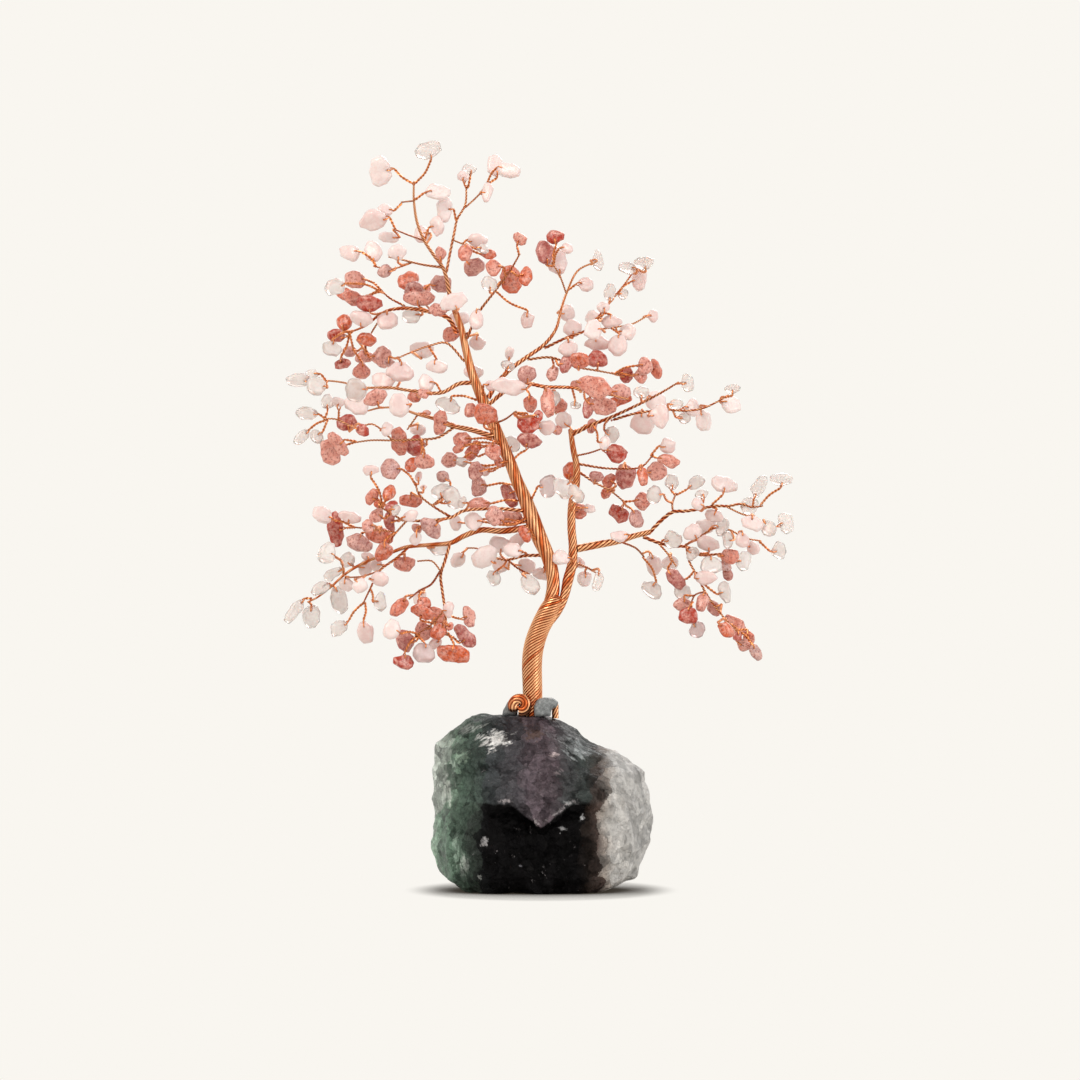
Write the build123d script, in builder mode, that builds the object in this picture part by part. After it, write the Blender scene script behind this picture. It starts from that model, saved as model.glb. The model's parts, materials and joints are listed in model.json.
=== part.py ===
from build123d import *
import math
import os

import numpy as np

# Gemstone tree ornament: drilled quartz chips on twisted copper wire, glued into a raw fluorite block.
# The frame stands on the table: +Z up, +X to the right, -Y towards the viewer, and the origin in the
# middle of the stone's flat underside. Lengths are in millimetres.

# Overall size, and how the picture's pixels measure it
TREE_HEIGHT = 299.2
TREE_TOP_PX = 142
GROUND_PX = 890
MIDDLE_PX = 541.5
PIXEL = TREE_HEIGHT / (GROUND_PX - TREE_TOP_PX)
CANOPY_REACH = 60.0

# Wire, and the rope that it is twisted into
WIRE = 0.32
TWIG = 2 * WIRE
SEAT_GAP = 0.15
HINGE_GAP = 0.5
AIR_GAP = 0.4

# Drilled chips and the wire eyes that hold them
CHIP_GRADE = 0.8
CHIP_THICKNESS = 2.9
CHIP_THINNEST = 1.8
CHIP_BEVEL = 0.8
CHIP_BEVEL_SHARE = 0.2
WALL_BEVEL_SHARE = 0.78
CHIP_BALL_SHARE = 0.6
HOLE_INSET = 1.6
EYE_GAP = 0.3
EYE_REACH = 0.9
HOLE = WIRE + 2 * EYE_GAP

# The stone and its foot
STONE_DEPTH = 66.0
SOCKET_DEPTH = 5.0
SOCKET_GAP = 0.4
GLUE = 0.6
PEBBLE_DEPTH = 5.4
PEBBLE_BEVEL = 1.0
ROOT_CURL = 4.2

# Each limb that a hand can bend: its root stem, the way its hinge lies and how far it gives
BEND = 8.0
HINGES = {
    "crown": ("crown_stem", (1, 0, 0)),
    "upper_left": ("upper_left_stem", (0, 0, 1)),
    "lower_left": ("lower_left_stem", (0, 0, 1)),
    "left_sprig": ("left_sprig_stem", (1, 0, 0)),
    "upper_right": ("upper_right_stem", (-0.6, 0, 0.8)),
    "far_right": ("far_right_stem", (0, 0, 1)),
    "right_limb": ("right_limb_stem", (0, 0, 1)),
    "right_sprig": ("right_sprig_stem", (1, 0, 0)),
}
CARRIED_BY = {"left_sprig": "lower_left", "right_sprig": "right_limb"}

# The stone in rings from its underside up, each one round from the left by way of the front: x and y in
# pixels, and how far back as a share of the half depth. The front has a ledge above its dark face.
STONE_RINGS_PX = [
    [(464, 890, -0.05), (466, 890, -0.50), (487, 890, -0.80), (515, 890, -0.86), (546, 890, -0.90),
     (588, 890, -0.80), (600, 890, -0.45), (604, 890, 0.02), (598, 890, 0.50), (556, 890, 0.80),
     (500, 890, 0.76), (470, 890, 0.46)],
    [(441, 875, -0.05), (452, 877, -0.62), (482, 876, -0.92), (514, 874, -0.96), (546, 877, -1.0),
     (590, 874, -0.92), (621, 878, -0.60), (637, 877, 0.0), (618, 874, 0.62), (558, 876, 0.92),
     (498, 875, 0.90), (455, 876, 0.56)],
    [(429, 849, 0.0), (446, 846, -0.60), (478, 842, -0.88), (508, 848, -0.97), (548, 852, -0.94),
     (593, 846, -0.96), (630, 850, -0.60), (650, 843, 0.02), (628, 846, 0.70), (560, 850, 1.0),
     (494, 844, 0.92), (448, 850, 0.60)],
    [(434, 822, 0.0), (450, 818, -0.50), (484, 817, -0.84), (513, 815, -0.86), (541, 832, -0.88),
     (588, 807, -0.88), (628, 822, -0.68), (654, 815, 0.05), (632, 816, 0.70), (562, 822, 0.92),
     (492, 820, 0.98), (446, 822, 0.66)],
    [(431, 798, 0.0), (453, 800, -0.52), (487, 803, -0.91), (515, 803, -0.99), (541, 824, -1.02),
     (583, 797, -0.98), (622, 795, -0.66), (651, 796, 0.0), (627, 790, 0.66), (560, 794, 0.90),
     (490, 796, 0.90), (445, 795, 0.60)],
    [(433, 770, -0.05), (455, 768, -0.50), (484, 777, -0.78), (516, 774, -0.80), (551, 782, -0.92),
     (584, 775, -0.76), (615, 772, -0.62), (642, 770, 0.0), (622, 765, 0.60), (556, 768, 0.84),
     (488, 764, 0.80), (446, 768, 0.58)],
    [(437, 745, -0.08), (457, 753, -0.50), (480, 759, -0.74), (513, 745, -0.62), (552, 756, -0.74),
     (588, 759, -0.52), (607, 758, -0.40), (626, 756, 0.0), (606, 755, 0.42), (552, 742, 0.64),
     (490, 743, 0.60), (452, 747, 0.40)],
    [(447, 733, -0.05), (463, 737, -0.36), (484, 736, -0.54), (509, 728, -0.42), (545, 733, -0.54),
     (572, 736, -0.38), (586, 742, -0.24), (601, 749, 0.03), (584, 740, 0.32), (548, 728, 0.46),
     (496, 725, 0.46), (462, 730, 0.28)],
    [(466, 718, 0.0), (474, 721, -0.26), (492, 722, -0.40), (512, 719, -0.37), (541, 720, -0.39),
     (556, 721, -0.30), (561, 720.5, -0.13), (563, 721, 0.05), (557, 720, 0.26), (538, 718, 0.35),
     (502, 717, 0.36), (482, 713, 0.22)],
    [(486, 716, 0.0), (490, 716, -0.20), (500, 716, -0.32), (516, 716, -0.33), (540, 716, -0.33),
     (545, 716, -0.24), (546, 716, -0.11), (546, 716, 0.05), (545, 716, 0.18), (536, 716, 0.26),
     (508, 716, 0.27), (493, 716, 0.14)],
]
PEBBLE_LEFT_PX = [(502, 716), (503, 710), (508, 702), (512, 699), (516, 702), (518, 709), (517, 716)]
PEBBLE_RIGHT_PX = [
    (535, 716), (534, 706), (538, 699), (545, 697), (553, 698), (558, 702), (557, 706), (552, 709),
    (551, 716),
]
PLATEAU_PX = 716

# The trunk and the two ropes that it splits into: x and y in pixels, and width in pixels
TRUNK_PX = [
    (532.5, 716, 20), (532.5, 690, 20), (532, 664, 20.5), (534, 646, 20.5), (540, 628, 20),
    (549, 611, 21), (555.5, 599, 24),
]
ROOT_CURL_PX = (519.5, 705, 6)
ROOT_CURL_TURN = (-58, 232)
ROOT_TAIL_PX = [(557, 718, 3.6), (556.5, 705, 3.6)]
LEADERS = ("left_leader", "right_leader")

# Every stem: the body that it belongs to, the stem that carries it and whether it goes on from that
# one's tip, how far back its tip leans as a share of the canopy's reach, and its centres and widths
SIDE = False
TIP = True
STEMS = {
    "left_leader": ("tree", None, SIDE, 0.06, [
        (551.5, 596, 14), (553, 578, 13), (548, 557, 14), (540, 539, 16), (532, 518, 16), (525, 499, 14),
        (517, 481, 12.5), (510, 462, 12), (500, 440, 12.5), (491, 419, 12.5), (481, 396, 11),
        (472, 373, 9), (466, 350, 8), (461, 328, 7), (454, 308, 6), (450, 296, 5)]),
    "right_leader": ("tree", None, SIDE, -0.05, [
        (563.5, 594, 9), (568, 580, 11), (572, 564, 10), (573, 547, 9), (571.5, 528, 8.5),
        (572, 506, 8.5), (576, 484, 8), (576.5, 466, 7), (573, 448, 6), (570.5, 430, 5)]),
    "crown_stem": ("crown", "left_leader", TIP, -0.05, [
        (448.5, 291, 5), (444, 270, 4), (433, 254, 3.6), (424, 240, 3.2), (417, 222, 3), (414, 201, 2.5),
        (414, 182, 2)]),
    "crown_right": ("crown", "crown_stem", SIDE, 0.22, [
        (445, 270, 3.2), (450, 252, 3), (454, 232, 3), (457, 218, 2.6), (465, 203, 2.4), (466, 184, 2)]),
    "crown_tip": ("crown", "crown_right", SIDE, 0.30, [(465, 203, 2), (479, 192, 2), (488, 178, 1.8)]),
    "crown_fork": ("crown", "crown_right", SIDE, 0.02, [(453, 240, 2), (468, 246, 1.8)]),
    "crown_left": ("crown", "crown_stem", SIDE, -0.30, [
        (440, 266, 3), (422, 265, 2.5), (402, 261, 2.2), (390, 259, 1.8)]),
    "crown_outer": ("crown", "crown_left", SIDE, -0.12, [(412, 265, 2), (392, 270, 2), (374, 267, 1.8)]),
    "crown_middle": ("crown", "crown_stem", SIDE, -0.35, [(423, 240, 2), (408, 236, 2), (396, 232, 1.8)]),
    "crown_high": ("crown", "crown_stem", SIDE, -0.20, [(414, 201, 2), (402, 204, 1.8)]),
    "upper_left_stem": ("upper_left", "left_leader", SIDE, 0.38, [
        (461, 330, 5), (447, 317, 5), (425, 310, 4.4), (402, 307, 4), (382, 311, 3), (364, 324, 2.5),
        (346, 331, 2)]),
    "upper_left_high": ("upper_left", "upper_left_stem", SIDE, 0.25, [
        (402, 306, 2.5), (388, 296, 2.2), (378, 286, 1.8)]),
    "upper_left_red": ("upper_left", "upper_left_stem", SIDE, 0.50, [
        (430, 312, 2.5), (420, 297, 2), (415, 285, 1.8)]),
    "upper_left_low": ("upper_left", "upper_left_stem", SIDE, 0.55, [
        (380, 312, 2.5), (370, 330, 2), (362, 346, 1.8)]),
    "left_mid_stem": ("tree", "left_leader", SIDE, -0.40, [
        (490, 436, 6), (472, 430, 5.5), (452, 426, 5), (434, 419, 4), (418, 415, 3), (400, 409, 2.4),
        (382, 409, 2), (370, 412, 1.8)]),
    "left_mid_low": ("tree", "left_mid_stem", SIDE, -0.30, [
        (452, 427, 3), (438, 438, 2.8), (420, 440, 2.4), (394, 441, 2.2), (372, 441, 2), (352, 444, 1.8)]),
    "left_mid_outer": ("tree", "left_mid_low", SIDE, -0.10, [
        (392, 440, 2.2), (374, 425, 2), (356, 428, 2), (338, 420, 2), (324, 419, 1.8)]),
    "left_mid_drop": ("tree", "left_mid_stem", SIDE, -0.20, [(418, 416, 2.2), (408, 430, 1.8)]),
    "left_mid_high": ("tree", "left_leader", SIDE, -0.20, [
        (474, 381, 5), (458, 384, 4.5), (440, 393, 4), (412, 391, 3.5), (390, 388, 3), (366, 388, 2.4),
        (343, 383, 2), (324, 381, 1.8)]),
    "left_mid_bridge": ("tree", "left_leader", SIDE, 0.15, [
        (464, 359, 3), (447, 343, 2.6), (430, 345, 2.2), (410, 352, 2), (396, 358, 1.8)]),
    "left_low_stem": ("tree", "left_leader", SIDE, -0.40, [
        (526, 509, 4), (505, 509, 4), (484, 509, 3.6), (464, 511, 3.6), (450, 518, 3.4), (424, 521, 3.2),
        (403, 520, 3)]),
    "left_low_high": ("tree", "left_low_stem", SIDE, -0.20, [
        (450, 519, 3), (433, 506, 2.5), (420, 495, 2.3), (416, 483, 2)]),
    "left_low_fork": ("tree", "left_low_high", SIDE, -0.10,
                      [(433, 506, 2), (443, 497, 2), (453, 490, 1.8)]),
    "left_low_tip": ("tree", "left_low_stem", TIP, -0.55,
                     [(402, 519, 2.5), (392, 513, 2.2), (381, 507, 1.8)]),
    "left_low_under": ("tree", "left_low_stem", SIDE, -0.25, [
        (408, 521, 2.4), (397, 533, 2.2), (388, 545, 1.8)]),
    "left_low_outer": ("tree", "left_low_under", SIDE, -0.15,
                       [(396, 533, 2), (372, 529, 2), (352, 527, 1.8)]),
    "lower_left_stem": ("lower_left", "left_leader", SIDE, -0.05, [
        (528, 527, 7), (502, 531, 6.5), (481, 530, 6), (464, 536, 5.5), (450, 543, 5), (428, 545, 4.2),
        (407, 547, 4), (390, 553, 3.4), (373, 559, 3), (356, 567, 3), (343, 576, 2.6), (331, 587, 2.4),
        (318, 597, 2), (308, 602, 1.8)]),
    "lower_left_drop": ("lower_left", "lower_left_stem", SIDE, -0.30, [
        (405, 548, 3), (397, 558, 3), (380, 571, 2.6), (371, 589, 2.2), (364, 604, 1.8)]),
    "lower_left_row": ("lower_left", "lower_left_drop", SIDE, -0.40, [
        (379, 573, 2.2), (364, 576, 2), (351, 577, 1.8)]),
    "left_sprig_stem": ("left_sprig", "lower_left_stem", SIDE, -0.42, [
        (449, 546, 3.5), (445, 561, 3.5), (441, 575, 3.4), (443, 592, 3.2), (446, 612, 3),
        (447, 634, 2.4)]),
    "left_sprig_left": ("left_sprig", "left_sprig_stem", SIDE, -0.50, [
        (441, 574, 2.6), (432, 584, 2.5), (421, 590, 2.2), (411, 598, 1.8)]),
    "left_sprig_high": ("left_sprig", "left_sprig_stem", SIDE, -0.15, [
        (442, 571, 2), (432, 561, 2), (418, 561, 1.8)]),
    "left_sprig_low": ("left_sprig", "left_sprig_stem", SIDE, -0.55, [
        (446, 612, 2.4), (432, 624, 2), (417, 634, 1.8)]),
    "centre_stem": ("tree", "left_leader", SIDE, -0.30, [
        (466, 338, 3.2), (478, 314, 3), (496, 291, 2.6), (511, 271, 2.2), (520, 256, 1.8)]),
    "centre_fork": ("tree", "left_leader", SIDE, -0.25,
                    [(494, 424, 2.4), (506, 419, 2.2), (516, 412, 1.8)]),
    "upper_right_stem": ("upper_right", "left_leader", SIDE, 0.30, [
        (484, 398, 5.5), (497, 383, 5), (510, 369, 5), (526, 357, 4.5), (544, 344, 4), (556, 328, 3.2),
        (561, 309, 2.8), (567, 291, 2.5), (578, 269, 2.2), (598, 259, 1.8)]),
    "upper_right_mid": ("upper_right", "upper_right_stem", SIDE, 0.42, [
        (544, 344, 3.4), (566, 337, 3), (588, 328, 2.8), (602, 311, 2.4), (614, 296, 2.2), (626, 281, 2),
        (637, 265, 1.8)]),
    "upper_right_far": ("upper_right", "upper_right_mid", SIDE, 0.50, [
        (588, 328, 2.4), (610, 326, 2.2), (632, 322, 2), (647, 314, 1.8)]),
    "upper_right_low": ("upper_right", "upper_right_stem", SIDE, 0.20, [
        (528, 356, 3), (552, 357, 2.8), (576, 366, 2.5), (598, 370, 2.2), (620, 374, 1.8)]),
    "upper_right_top": ("upper_right", "upper_right_stem", SIDE, 0.10, [
        (567, 291, 2), (560, 275, 1.9), (552, 262, 1.8)]),
    "right_mid_stem": ("tree", "left_leader", SIDE, -0.20, [
        (488, 404, 4.5), (504, 392, 4.5), (522, 383, 4.4), (545, 387, 4), (571, 388, 3.5), (592, 392, 3),
        (612, 396, 2.4), (628, 400, 1.8)]),
    "right_mid_drop": ("tree", "right_mid_stem", SIDE, -0.35,
                       [(545, 388, 2.4), (550, 402, 2.2), (556, 415, 1.8)]),
    "right_hub_low": ("tree", "right_leader", SIDE, 0.15, [
        (577, 473, 3), (594, 482, 2.6), (611, 491, 2.2), (626, 503, 1.8)]),
    "right_hub_high": ("tree", "right_leader", SIDE, -0.10, [
        (577, 465, 3), (602, 468, 2.5), (622, 469, 2.2), (641, 467, 2), (653, 455, 1.8)]),
    "right_hub_up": ("tree", "right_leader", SIDE, -0.20,
                     [(575, 456, 2.2), (590, 453, 2), (602, 449, 1.8)]),
    "far_right_stem": ("far_right", "right_leader", SIDE, -0.45, [
        (572, 434, 4), (592, 425, 4), (608, 419, 3.8), (626, 411, 3.2), (645, 402, 3), (662, 393, 2.4),
        (677, 384, 2)]),
    "far_right_low": ("far_right", "far_right_stem", SIDE, -0.50, [
        (612, 418, 3), (636, 414, 2.8), (665, 411, 2.5), (684, 412, 2.4), (700, 410, 2.2), (714, 404, 2),
        (726, 397, 1.8)]),
    "right_limb_stem": ("right_limb", "right_leader", SIDE, 0.12, [
        (573, 548, 8), (596, 545, 8), (618, 541, 7), (634, 536, 6), (650, 532, 5.5)]),
    "right_limb_high": ("right_limb", "right_limb_stem", TIP, 0.05, [
        (652, 531, 4.2), (662, 520, 4.2), (673, 512, 4), (686, 511, 3.6), (700, 509, 3.4), (715, 506, 3.2),
        (729, 506, 3), (741, 504, 2.4), (752, 507, 2.2), (763, 506, 1.8)]),
    "right_limb_up": ("right_limb", "right_limb_high", SIDE, 0.30,
                      [(673, 511, 2.5), (673, 503, 2.4), (677, 493, 2)]),
    "right_limb_out": ("right_limb", "right_limb_high", SIDE, -0.15, [
        (729, 507, 2.2), (742, 514, 2), (756, 518, 2), (766, 525, 1.8)]),
    "right_limb_low": ("right_limb", "right_limb_stem", SIDE, 0.25, [
        (645, 534, 4), (657, 542, 4), (672, 546, 3.6), (688, 547, 3.4), (701, 555, 3), (723, 554, 2.6),
        (740, 556, 1.8)]),
    "right_limb_far": ("right_limb", "right_limb_low", SIDE, 0.35, [
        (688, 547, 2.8), (702, 536, 2.6), (716, 528, 2.4), (731, 530, 2.2), (747, 538, 2),
        (763, 541, 1.8)]),
    "right_limb_under": ("right_limb", "right_limb_low", SIDE, 0.10, [
        (688, 548, 2.8), (690, 562, 2.6), (697, 575, 2.4)]),
    "right_limb_side": ("right_limb", "right_limb_stem", SIDE, 0.40, [
        (622, 541, 2.6), (636, 548, 2.4), (645, 557, 2)]),
    "right_limb_tail": ("right_limb", "right_limb_low", SIDE, 0.00, [
        (660, 543, 2.4), (668, 554, 2.2), (676, 566, 1.8)]),
    "right_sprig_stem": ("right_sprig", "right_limb_under", TIP, -0.05, [
        (699, 579, 2.6), (706, 593, 2.6), (714, 605, 2.4), (726, 620, 2.2), (738, 633, 1.8)]),
    "right_sprig_left": ("right_sprig", "right_sprig_stem", SIDE, -0.15, [
        (705, 592, 2.2), (695, 595, 2), (690, 604, 1.8)]),
    "low_centre_stem": ("tree", "left_leader", SIDE, 0.40, [
        (545, 553, 4), (524, 556, 3.6), (506, 560, 3), (490, 556, 2.4), (478, 549, 2), (466, 548, 1.8)]),
    "low_centre_drop": ("tree", "low_centre_stem", SIDE, 0.25,
                        [(508, 560, 2.4), (517, 568, 2.2), (530, 575, 1.8)]),
    "low_centre_right": ("tree", "right_leader", SIDE, 0.30,
                         [(572, 563, 3), (588, 568, 2.6), (598, 574, 1.8)]),
}

# The groups of chips in the order that they are hung, with the stems that may carry their twigs
GROUPS = {
    "centre": ["left_leader", "centre_stem", "centre_fork"],
    "right_mid": ["right_mid_stem", "right_mid_drop", "right_hub_low", "right_hub_high",
                  "right_hub_up", "right_leader"],
    "left_mid": ["left_mid_stem", "left_mid_low", "left_mid_outer", "left_mid_drop", "left_mid_high",
                 "left_mid_bridge"],
    "left_low": ["left_low_stem", "left_low_high", "left_low_fork", "left_low_tip", "left_low_under",
                 "left_low_outer"],
    "low_centre": ["low_centre_stem", "low_centre_drop", "low_centre_right", "left_leader", "right_leader"],
    "crown": ["crown_stem", "crown_right", "crown_tip", "crown_fork", "crown_left", "crown_outer",
              "crown_middle", "crown_high"],
    "upper_left": ["upper_left_stem", "upper_left_high", "upper_left_red", "upper_left_low"],
    "lower_left": ["lower_left_stem", "lower_left_drop", "lower_left_row"],
    "left_sprig": ["left_sprig_stem", "left_sprig_left", "left_sprig_high", "left_sprig_low"],
    "upper_right": ["upper_right_stem", "upper_right_mid", "upper_right_far", "upper_right_low",
                    "upper_right_top"],
    "far_right": ["far_right_stem", "far_right_low"],
    "right_limb": ["right_limb_stem", "right_limb_high", "right_limb_up", "right_limb_out",
                   "right_limb_low", "right_limb_far", "right_limb_under", "right_limb_side",
                   "right_limb_tail"],
    "right_sprig": ["right_sprig_stem", "right_sprig_left"],
}

# Every chip: the pixel of its middle, its length and breadth in pixels, and the turn of its length
PALE_CHIPS = {
    "centre": [
        (454, 303, 27, 18, 20), (458, 317, 20, 15, 0), (477, 322, 20, 12, 90), (477, 341, 17, 16, 0),
        (473, 371, 20, 13, 0), (492, 385, 14, 10, 0), (448, 405, 26, 15, -20), (490, 285, 15, 13, 0),
        (528, 320, 15, 13, 90), (461, 462, 12, 10, 0), (486, 471, 12, 10, 90), (512, 444, 17, 13, -30),
        (547, 429, 17, 16, 0), (474, 522, 17, 15, 90), (455, 523, 15, 11, 90), (549, 486, 21, 17, 90)],
    "right_mid": [
        (508, 388, 33, 16, -10), (563, 420, 17, 16, 45), (554, 400, 14, 11, 90), (575, 406, 12, 10, 0),
        (563, 488, 24, 17, -50), (576, 494, 22, 14, -40), (589, 508, 12, 10, 0), (668, 446, 15, 14, 0)],
    "left_mid": [
        (299, 382, 22, 13, 0), (313, 375, 14, 10, 0), (318, 388, 20, 17, 0), (357, 390, 24, 19, 90),
        (357, 406, 26, 17, -10), (340, 403, 15, 12, 0), (328, 402, 15, 12, 90), (307, 413, 22, 12, -10),
        (382, 379, 27, 18, 0), (400, 372, 29, 20, 0), (401, 406, 23, 20, 90), (420, 347, 24, 15, 0),
        (436, 366, 22, 11, 0), (426, 383, 17, 15, 90), (302, 438, 19, 10, 45), (318, 437, 15, 10, -50),
        (389, 430, 12, 9, 90), (418, 430, 13, 10, 0)],
    "left_low": [
        (374, 471, 17, 9, -5), (412, 516, 15, 10, 15), (324, 515, 20, 16, -20), (351, 517, 22, 12, -10),
        (398, 510, 11, 9, 90), (417, 539, 13, 12, 90), (419, 476, 11, 9, 90), (424, 487, 9, 8, 0),
        (441, 490, 20, 13, 15), (453, 499, 23, 15, -60), (462, 503, 12, 10, 90)],
    "low_centre": [
        (500, 544, 22, 15, 0), (516, 541, 20, 14, 15), (513, 551, 17, 14, 0), (485, 557, 25, 22, 60),
        (500, 565, 17, 15, 60), (493, 578, 15, 13, -30), (526, 567, 20, 15, -10), (543, 574, 20, 12, -10),
        (531, 584, 21, 16, -50), (562, 558, 17, 15, 0), (457, 561, 18, 13, 60), (580, 562, 12, 9, -30),
        (585, 579, 14, 13, 90), (598, 582, 20, 10, 85)],
    "crown": [
        (429, 151, 27, 18, 15), (381, 171, 30, 21, 100), (386, 212, 14, 10, 0), (374, 223, 30, 20, 15),
        (421, 231, 18, 13, 90), (389, 238, 20, 12, 0), (373, 252, 24, 17, 100), (399, 255, 18, 15, 0),
        (349, 253, 22, 15, 0), (438, 192, 24, 16, 10), (444, 208, 25, 16, 90), (437, 226, 21, 14, 100),
        (464, 175, 11, 10, 0), (470, 167, 16, 10, 0), (494, 162, 21, 16, 100), (509, 169, 22, 14, -20),
        (487, 192, 19, 10, 90), (478, 240, 19, 13, 0), (483, 249, 12, 10, 0)],
    "upper_left": [
        (335, 288, 19, 15, 20), (411, 314, 18, 14, 0), (331, 348, 22, 16, 0), (361, 318, 22, 13, 0),
        (386, 320, 21, 17, 0)],
    "lower_left": [
        (330, 552, 22, 14, 60), (347, 560, 15, 13, 45), (367, 556, 13, 10, 0), (365, 567, 15, 12, 90),
        (376, 565, 14, 12, 90), (332, 574, 22, 10, 30), (320, 589, 17, 10, 35), (295, 611, 28, 10, 50),
        (312, 617, 22, 18, 90), (339, 600, 27, 15, -65), (347, 585, 16, 13, 0), (363, 585, 15, 13, 45),
        (382, 579, 18, 13, 0), (382, 602, 22, 12, 85), (340, 628, 20, 14, 35), (368, 632, 22, 16, 100),
        (439, 549, 20, 11, 0)],
    "left_sprig": [
        (394, 627, 20, 15, 60), (420, 597, 16, 12, 60), (426, 652, 22, 17, 0), (436, 643, 13, 11, 60),
        (450, 610, 15, 10, 90)],
    "upper_right": [
        (599, 257, 21, 12, 90), (567, 248, 11, 9, 0), (586, 283, 16, 15, 90), (567, 311, 18, 16, 90),
        (573, 326, 19, 17, 0), (593, 315, 18, 16, 0), (604, 306, 14, 10, 0), (592, 330, 19, 18, 90),
        (612, 320, 22, 10, 0), (627, 267, 17, 11, 0), (645, 262, 19, 13, 10), (641, 277, 22, 15, 100),
        (610, 292, 17, 12, 90), (624, 291, 12, 11, 0), (654, 313, 13, 11, 90), (628, 330, 18, 15, 0),
        (619, 345, 21, 17, 90), (597, 342, 28, 13, 0), (568, 347, 18, 16, 0), (509, 353, 14, 9, 90),
        (508, 365, 13, 10, -20), (556, 258, 30, 20, 100)],
    "far_right": [
        (640, 394, 15, 11, 0), (686, 384, 18, 12, 100), (656, 402, 21, 17, -30), (642, 423, 26, 24, 0),
        (658, 418, 24, 18, 90), (675, 406, 14, 10, 0), (691, 409, 17, 15, 90), (683, 418, 12, 11, 0),
        (703, 421, 21, 16, 100), (730, 404, 19, 17, 0), (730, 391, 16, 10, 0), (604, 444, 13, 9, 80),
        (612, 435, 17, 14, 60)],
    "right_limb": [
        (672, 481, 15, 14, 90), (697, 482, 18, 12, 35), (702, 494, 16, 10, 15), (655, 494, 17, 14, 90),
        (725, 485, 27, 15, -10), (758, 486, 24, 14, 75), (750, 507, 19, 15, 70), (782, 480, 23, 12, -10),
        (786, 523, 21, 15, -70), (697, 504, 12, 9, -20), (715, 516, 19, 11, -20), (750, 524, 22, 15, 0),
        (767, 529, 17, 14, -60), (706, 526, 24, 15, 25), (692, 532, 18, 14, 30), (674, 540, 20, 17, 90),
        (722, 528, 21, 13, 80), (710, 543, 21, 15, 0), (742, 540, 14, 13, 0), (755, 549, 15, 12, -30),
        (781, 550, 20, 14, -80), (747, 562, 19, 16, 90), (693, 554, 16, 12, 45), (655, 565, 24, 16, -70),
        (672, 563, 18, 15, 0), (711, 566, 22, 18, 0), (707, 577, 21, 13, 10), (683, 592, 17, 15, 90),
        (725, 593, 23, 11, 100), (653, 590, 22, 14, -35), (618, 536, 18, 11, 10), (728, 540, 16, 10, 90)],
    "right_sprig": [(697, 630, 18, 15, -70)],
}
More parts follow.
